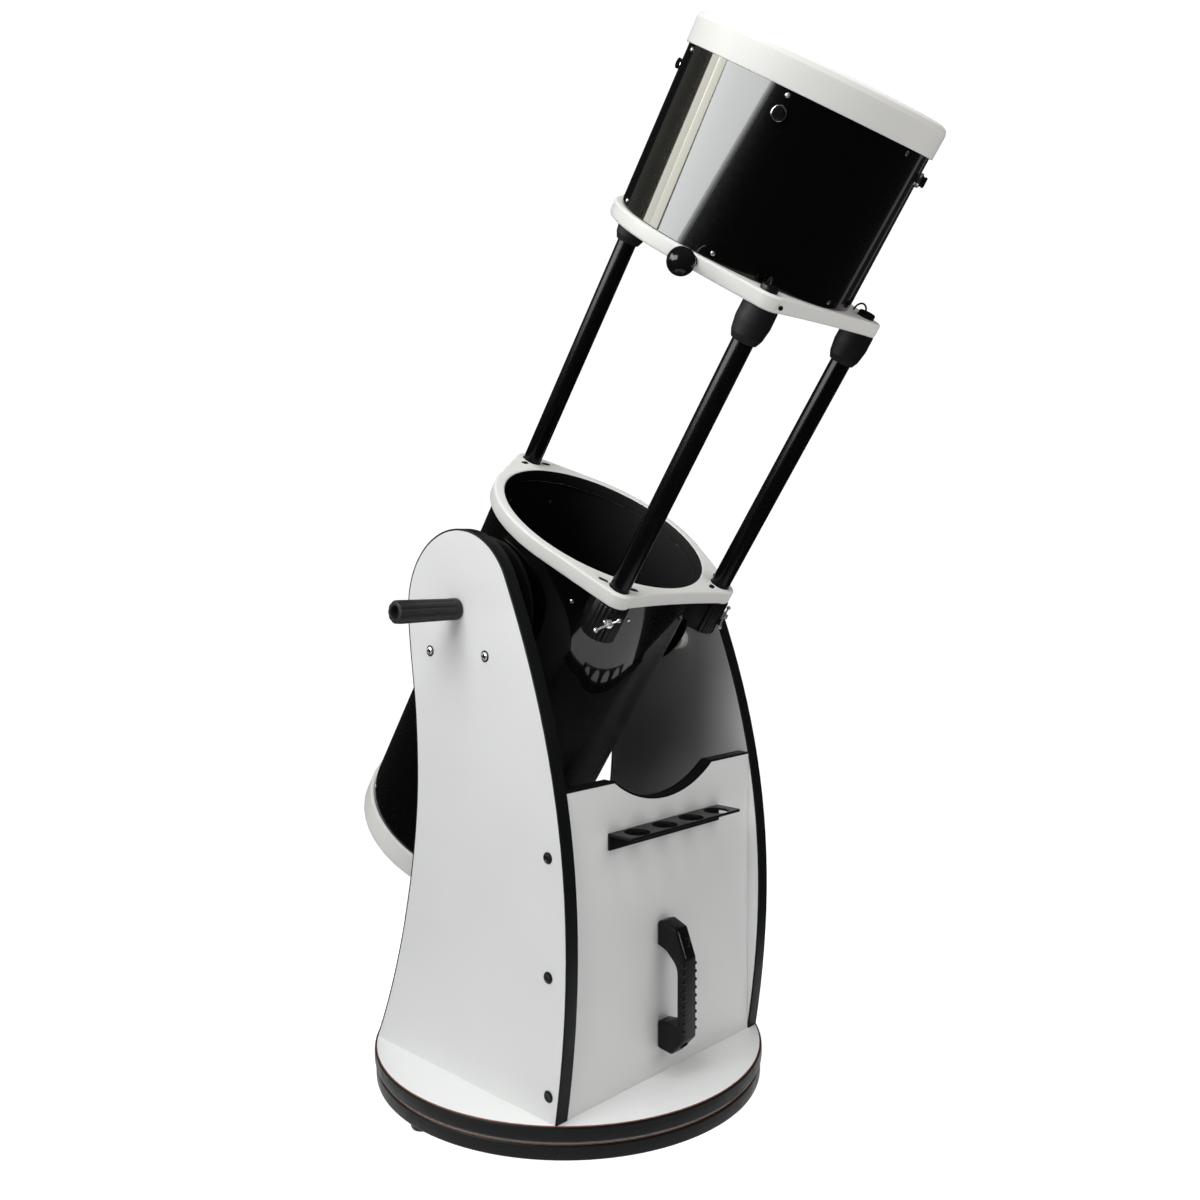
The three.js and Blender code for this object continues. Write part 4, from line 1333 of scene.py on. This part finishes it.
def make_softbox(name, seen_by, azimuth, elevation, distance, width, height, radiance, color, shift=(0, 0)):
    """A soft rectangular lamp that faces the upper tube and lights only matt or only polished surfaces.

    Azimuth 0 is in front of the telescope, -90 its left. The shift moves it across and up in its own plane.
    """
    across, up = math.radians(azimuth), math.radians(elevation)
    outward = Vector((math.sin(across) * math.cos(up), -math.cos(across) * math.cos(up), math.sin(up)))
    data = bpy.data.lights.new(name, "AREA")
    data.shape = "RECTANGLE"
    data.size, data.size_y = width, height
    data.energy = radiance * math.pi * width * height
    data.color = color
    lamp = linked(name, data)
    aim = outward.to_track_quat("Z", "Y").to_matrix().to_4x4()
    lamp.matrix_world = Matrix.Translation(STUDIO_MIDDLE + outward * distance) @ aim @ at(*shift, 0)
    lamp.visible_camera = False
    lamp.visible_glossy = seen_by == "polished"
    lamp.visible_diffuse = seen_by == "matt"


COOL, WARM, CREAM = (0.99, 1.0, 1.0), (1.0, 0.985, 0.965), (1.0, 0.99, 0.88)
# Each lamp: name, azimuth, elevation, distance, width, height, radiance, colour.
MATT_LAMPS = (
    ("left_lamp", -88, 34, 2.8, 2.2, 1.6, 6.1, COOL),
    ("high_lamp", -60, 80, 2.8, 2.2, 1.6, 4.8, COOL),
    ("front_lamp", 15, 30, 3.0, 2.0, 2.0, 2.75, WARM),
)
PANEL_DISTANCE = 2.6
POLISHED_PANELS = (
    ("left_rear_panel", -132.7, 24, PANEL_DISTANCE, 0.39, 1.3, 12.8, CREAM),
    ("far_left_rear_panel", -142.2, 24, PANEL_DISTANCE, 0.46, 1.3, 10.0, CREAM),
    ("right_strip", 81, -8, PANEL_DISTANCE, 0.2, 1.6, 0.28, (1, 1, 1)),
    ("far_right_strip", 95, -2, PANEL_DISTANCE, 0.14, 2.0, 0.16, (1, 1, 1)),
    ("rear_panel", -170, 24, PANEL_DISTANCE, 1.4, 1.6, 0.16, (1.0, 0.97, 0.85)),
)
# The big left panel's edges in its own plane. Its lower edge fades out in two strips.
LEFT, RIGHT, BOTTOM, TOP = -0.75, 1.5, -0.44, 1.0
FADE = 0.07
LEFT_PANEL_RADIANCE = 15.0


def make_lights():
    """Broad lamps light the matt surfaces; narrow panels are there for the polished ones to mirror."""
    for name, *lamp in MATT_LAMPS:
        make_softbox(name, "matt", *lamp)
    for name, low, high, share in (("", BOTTOM, TOP, 1), ("_edge", BOTTOM - FADE, BOTTOM, 0.4),
                                   ("_rim", BOTTOM - 2 * FADE, BOTTOM - FADE, 0.13)):
        make_softbox("left_panel" + name, "polished", -110, 10, PANEL_DISTANCE, RIGHT - LEFT, high - low,
                     LEFT_PANEL_RADIANCE * share, (0.97, 1.0, 0.985), ((LEFT + RIGHT) / 2, (low + high) / 2))
    for name, *lamp in POLISHED_PANELS:
        make_softbox(name, "polished", *lamp)
    bpy.context.scene.view_settings.view_transform = "Standard"


make_camera()
make_floor()
make_world()
make_lights()
make_round_board("ground_board", "ground")
make_round_board("turntable_board", "rocker")
make_feet()
make_side_panels()
make_front_panel()
make_eyepiece_rack()
make_carry_handle()
make_rollers()
make_screw_caps()
make_tension_handles()
make_tubes()
make_truss_rings()
make_end_rings()
make_tube_screws()
make_altitude_hubs()
make_struts()
make_strut_clamps()
make_strut_caps()
make_guide_knob()
make_spider()
make_secondary()
make_focuser()
make_finder_shoe()
make_mirror_cell()
make_primary_mirror()
finish_kept_nodes()
